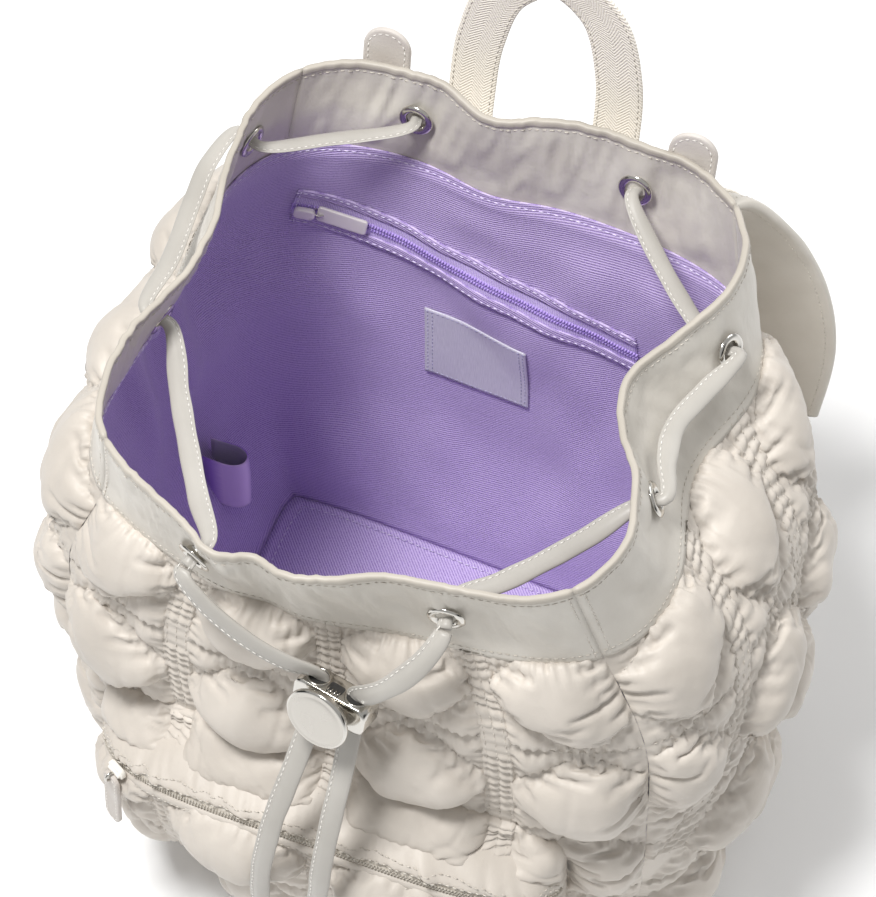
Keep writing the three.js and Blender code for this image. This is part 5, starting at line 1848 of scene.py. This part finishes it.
def strap_ribbon(side, line, across, face, pad):
    """A webbing sewn on the outer face of a strap's pad, from just before its highest point."""
    outer = slice(int(line[:, 2].argmax()) - 2, None)
    out, sideways = -face[outer], across[outer]
    middle = line[outer] + out * (pad[outer] / 2 + 0.25)[:, None]
    mesh = band_mesh(f"strap_ribbon_{side}", middle, sideways, out, WEBBING_WIDTH, 1.7, 14, 5)
    new_piece(mesh, WEBBING)
    rows = [(middle + sideways * edge + out * 0.8, out) for edge in (-RIBBON_EDGE, RIBBON_EDGE)]
    bars(f"strap_ribbon_stitches_{side}", rows, "ribbon")


def strap_tab(side):
    node = f"strap_tab_{side}"
    place, (wide, long, thick) = node_place(node)
    corner = wide / 2 - 0.3
    tab = plate_mesh(f"tab_leather_{side}", wide, long, thick, corner, place, 0.45)
    new_piece(tab, LEATHER, (node,))
    rows = []
    for flip in (1, -1):
        points, normal = outline_stitches(wide, long, corner, 2.2, flip * (thick / 2 + 0.05), place)
        rows.append((points, normal * flip))
    bars(f"tab_stitches_{side}", rows, "tab")


def strap_adjuster(side):
    """A metal frame with a bar across it. Gives its middle."""
    node = f"strap_adjuster_{side}"
    place, (tall, wide, _) = node_place(node)
    out = np.array(place)[:3, 2]
    rim = ADJUSTER["frame"][0]
    outline = rounded_outline(tall - rim, wide - rim, ADJUSTER["corner"])
    ring = np.column_stack([outline, np.zeros(len(outline))])
    ring = moved(np.concatenate([ring, ring[:2]]), place)
    across, face = route_frames(ring, np.repeat([out], len(ring), 0))
    mesh = band_mesh(f"adjuster_frame_{side}", ring, across, face, *ADJUSTER["frame"], 12, 3)
    new_piece(mesh, NICKEL, (node,))
    end = wide / 2 - ADJUSTER["bar_inset"]
    bar = moved(np.array([[0, y, 0] for y in np.linspace(-end, end, 12)]), place)
    across, face = route_frames(bar, np.repeat([out], len(bar), 0))
    mesh = band_mesh(f"adjuster_bar_{side}", bar, across, face, *ADJUSTER["bar"], 12, 3)
    new_piece(mesh, NICKEL)
    return np.array(place)[:3, 3]


def webbing_tail(side, sign, top):
    """A webbing from a strap's adjuster down to the seam at the foot of the back."""
    at = np.array(-sign * TAIL["place"])
    foot, hem = [surface("back", at, np.array(height), off) for height, off in (TAIL["foot"], TAIL["hem"])]
    drop = foot - top
    middle = top + drop * 0.5 + np.array([0, TAIL["slack"], 0])
    line = smooth_route([top + (0, 1, 6), top, top + drop * 0.12, middle, foot, hem], 2)
    hints = np.cross(np.gradient(line, axis=0), np.array([1.0, 0, 0]))
    hints = np.where(hints[:, 1:2] < 0, -hints, hints)
    across, face = route_frames(line, unit(hints))
    mesh = band_mesh(f"webbing_tail_{side}", line, across, face, WEBBING_WIDTH, 1.9, 22, 5)
    new_piece(mesh, WEBBING, (f"strap_webbing_{side}",))


for sign, side in ((-1, "left"), (1, "right")):
    shoulder_strap(sign, side)
    strap_tab(side)
    webbing_tail(side, sign, strap_adjuster(side))


# Base: a flat nylon panel with a piped edge

BASE_TOP = 4.2
BASE_CURL = 0.985
PIPING = {"off": 1.6, "height": 5.2, "width": 4.4, "thickness": 4.0}


def base_pieces():
    rim = floor_outline(1.2, PANEL_LOW)
    rim[:, 2] = 0
    middle = np.array([*FLOOR_MIDDLE, 0])
    shares = np.concatenate([np.linspace(0.02, 0.95, 14), np.linspace(0.96, 1, 5)])[::-1]
    under = middle + (rim - middle) * shares[:, None, None]
    lift = 4 * (shares > BASE_CURL) * ((shares - BASE_CURL) / 0.015) ** 2
    under[..., 2] = lift[:, None] * 0.6 + 0.05
    top = under.copy()
    top[..., 2] = BASE_TOP
    mesh = wall_mesh("base_cloth", top, under, top[..., :2], True)
    new_piece(turned_out(mesh), COLLAR_NYLON, ("base_panel",))
    edge = floor_outline(PIPING["off"], PIPING["height"])
    ring = np.concatenate([edge, edge[:2]])
    across, face = route_frames(ring, np.repeat([[0, 0, 1.0]], len(ring), 0))
    piping = band_mesh("base_piping", ring, across, face, PIPING["width"], PIPING["thickness"], 10, 2)
    new_piece(piping, COLLAR_NYLON)


base_pieces()


# Floor and light, in metres

FLOOR_HALF = 60
WORLD_STRENGTH = 0.47
LIGHT_AIM = (0, 0, 0.18)
# name, place, size, power
LIGHTS = (
    ("key", (-0.36, -0.4, 1.92), 0.42, 34),
    ("rear", (0.6, 1.3, 1.2), 1.0, 9),
)
CARD = {"out": 1.7, "front": -1.4, "back": 0.2, "low": 0.1, "high": 1.0}


def stage_sheet(name, corners, finish, seen):
    mesh = bpy.data.meshes.new(name)
    mesh.from_pydata(corners, [], [(0, 1, 2, 3)])
    mesh.materials.append(finish)
    sheet = bpy.data.objects.new(name, mesh)
    sheet.visible_camera = seen
    scene.collection.objects.link(sheet)


def floor_and_cards():
    """A pale floor, and dark cards that show only as reflections in the metal."""
    pale, tree = new_material("pale_floor")
    clouds = noise(tree, coordinates(tree, "Object"), 3, 2)
    tone = two_tone(tree, clouds, (0.93, 0.93, 0.93), (0.95, 0.95, 0.95))
    finished(pale, {"Base Color": tone}, {"Roughness": 0.9})
    far = FLOOR_HALF
    stage_sheet("floor", [(-far, -far, 0), (far, -far, 0), (far, far, 0), (-far, far, 0)], pale, True)
    dark, _ = new_material("dark_card")
    finished(dark, {}, {"Base Color": (0.01, 0.01, 0.01, 1)})
    front, back, low, high = CARD["front"], CARD["back"], CARD["low"], CARD["high"]
    for name, x in (("card_left", -CARD["out"]), ("card_right", CARD["out"])):
        stage_sheet(name, [(x, front, low), (x, back, low), (x, back, high), (x, front, high)], dark, False)


def lights():
    world = bpy.data.worlds.new("studio")
    scene.world = world
    world.use_nodes = True
    background = world.node_tree.nodes["Background"]
    background.inputs["Color"].default_value = (1, 1, 1, 1)
    background.inputs["Strength"].default_value = WORLD_STRENGTH
    for name, place, size, power in LIGHTS:
        data = bpy.data.lights.new(name, "AREA")
        data.size = size
        data.energy = power
        light = bpy.data.objects.new(name, data)
        light.location = place
        light.rotation_euler = (Vector(LIGHT_AIM) - Vector(place)).to_track_quat("-Z", "Y").to_euler()
        scene.collection.objects.link(light)
    scene.view_settings.view_transform = "Standard"


floor_and_cards()
lights()
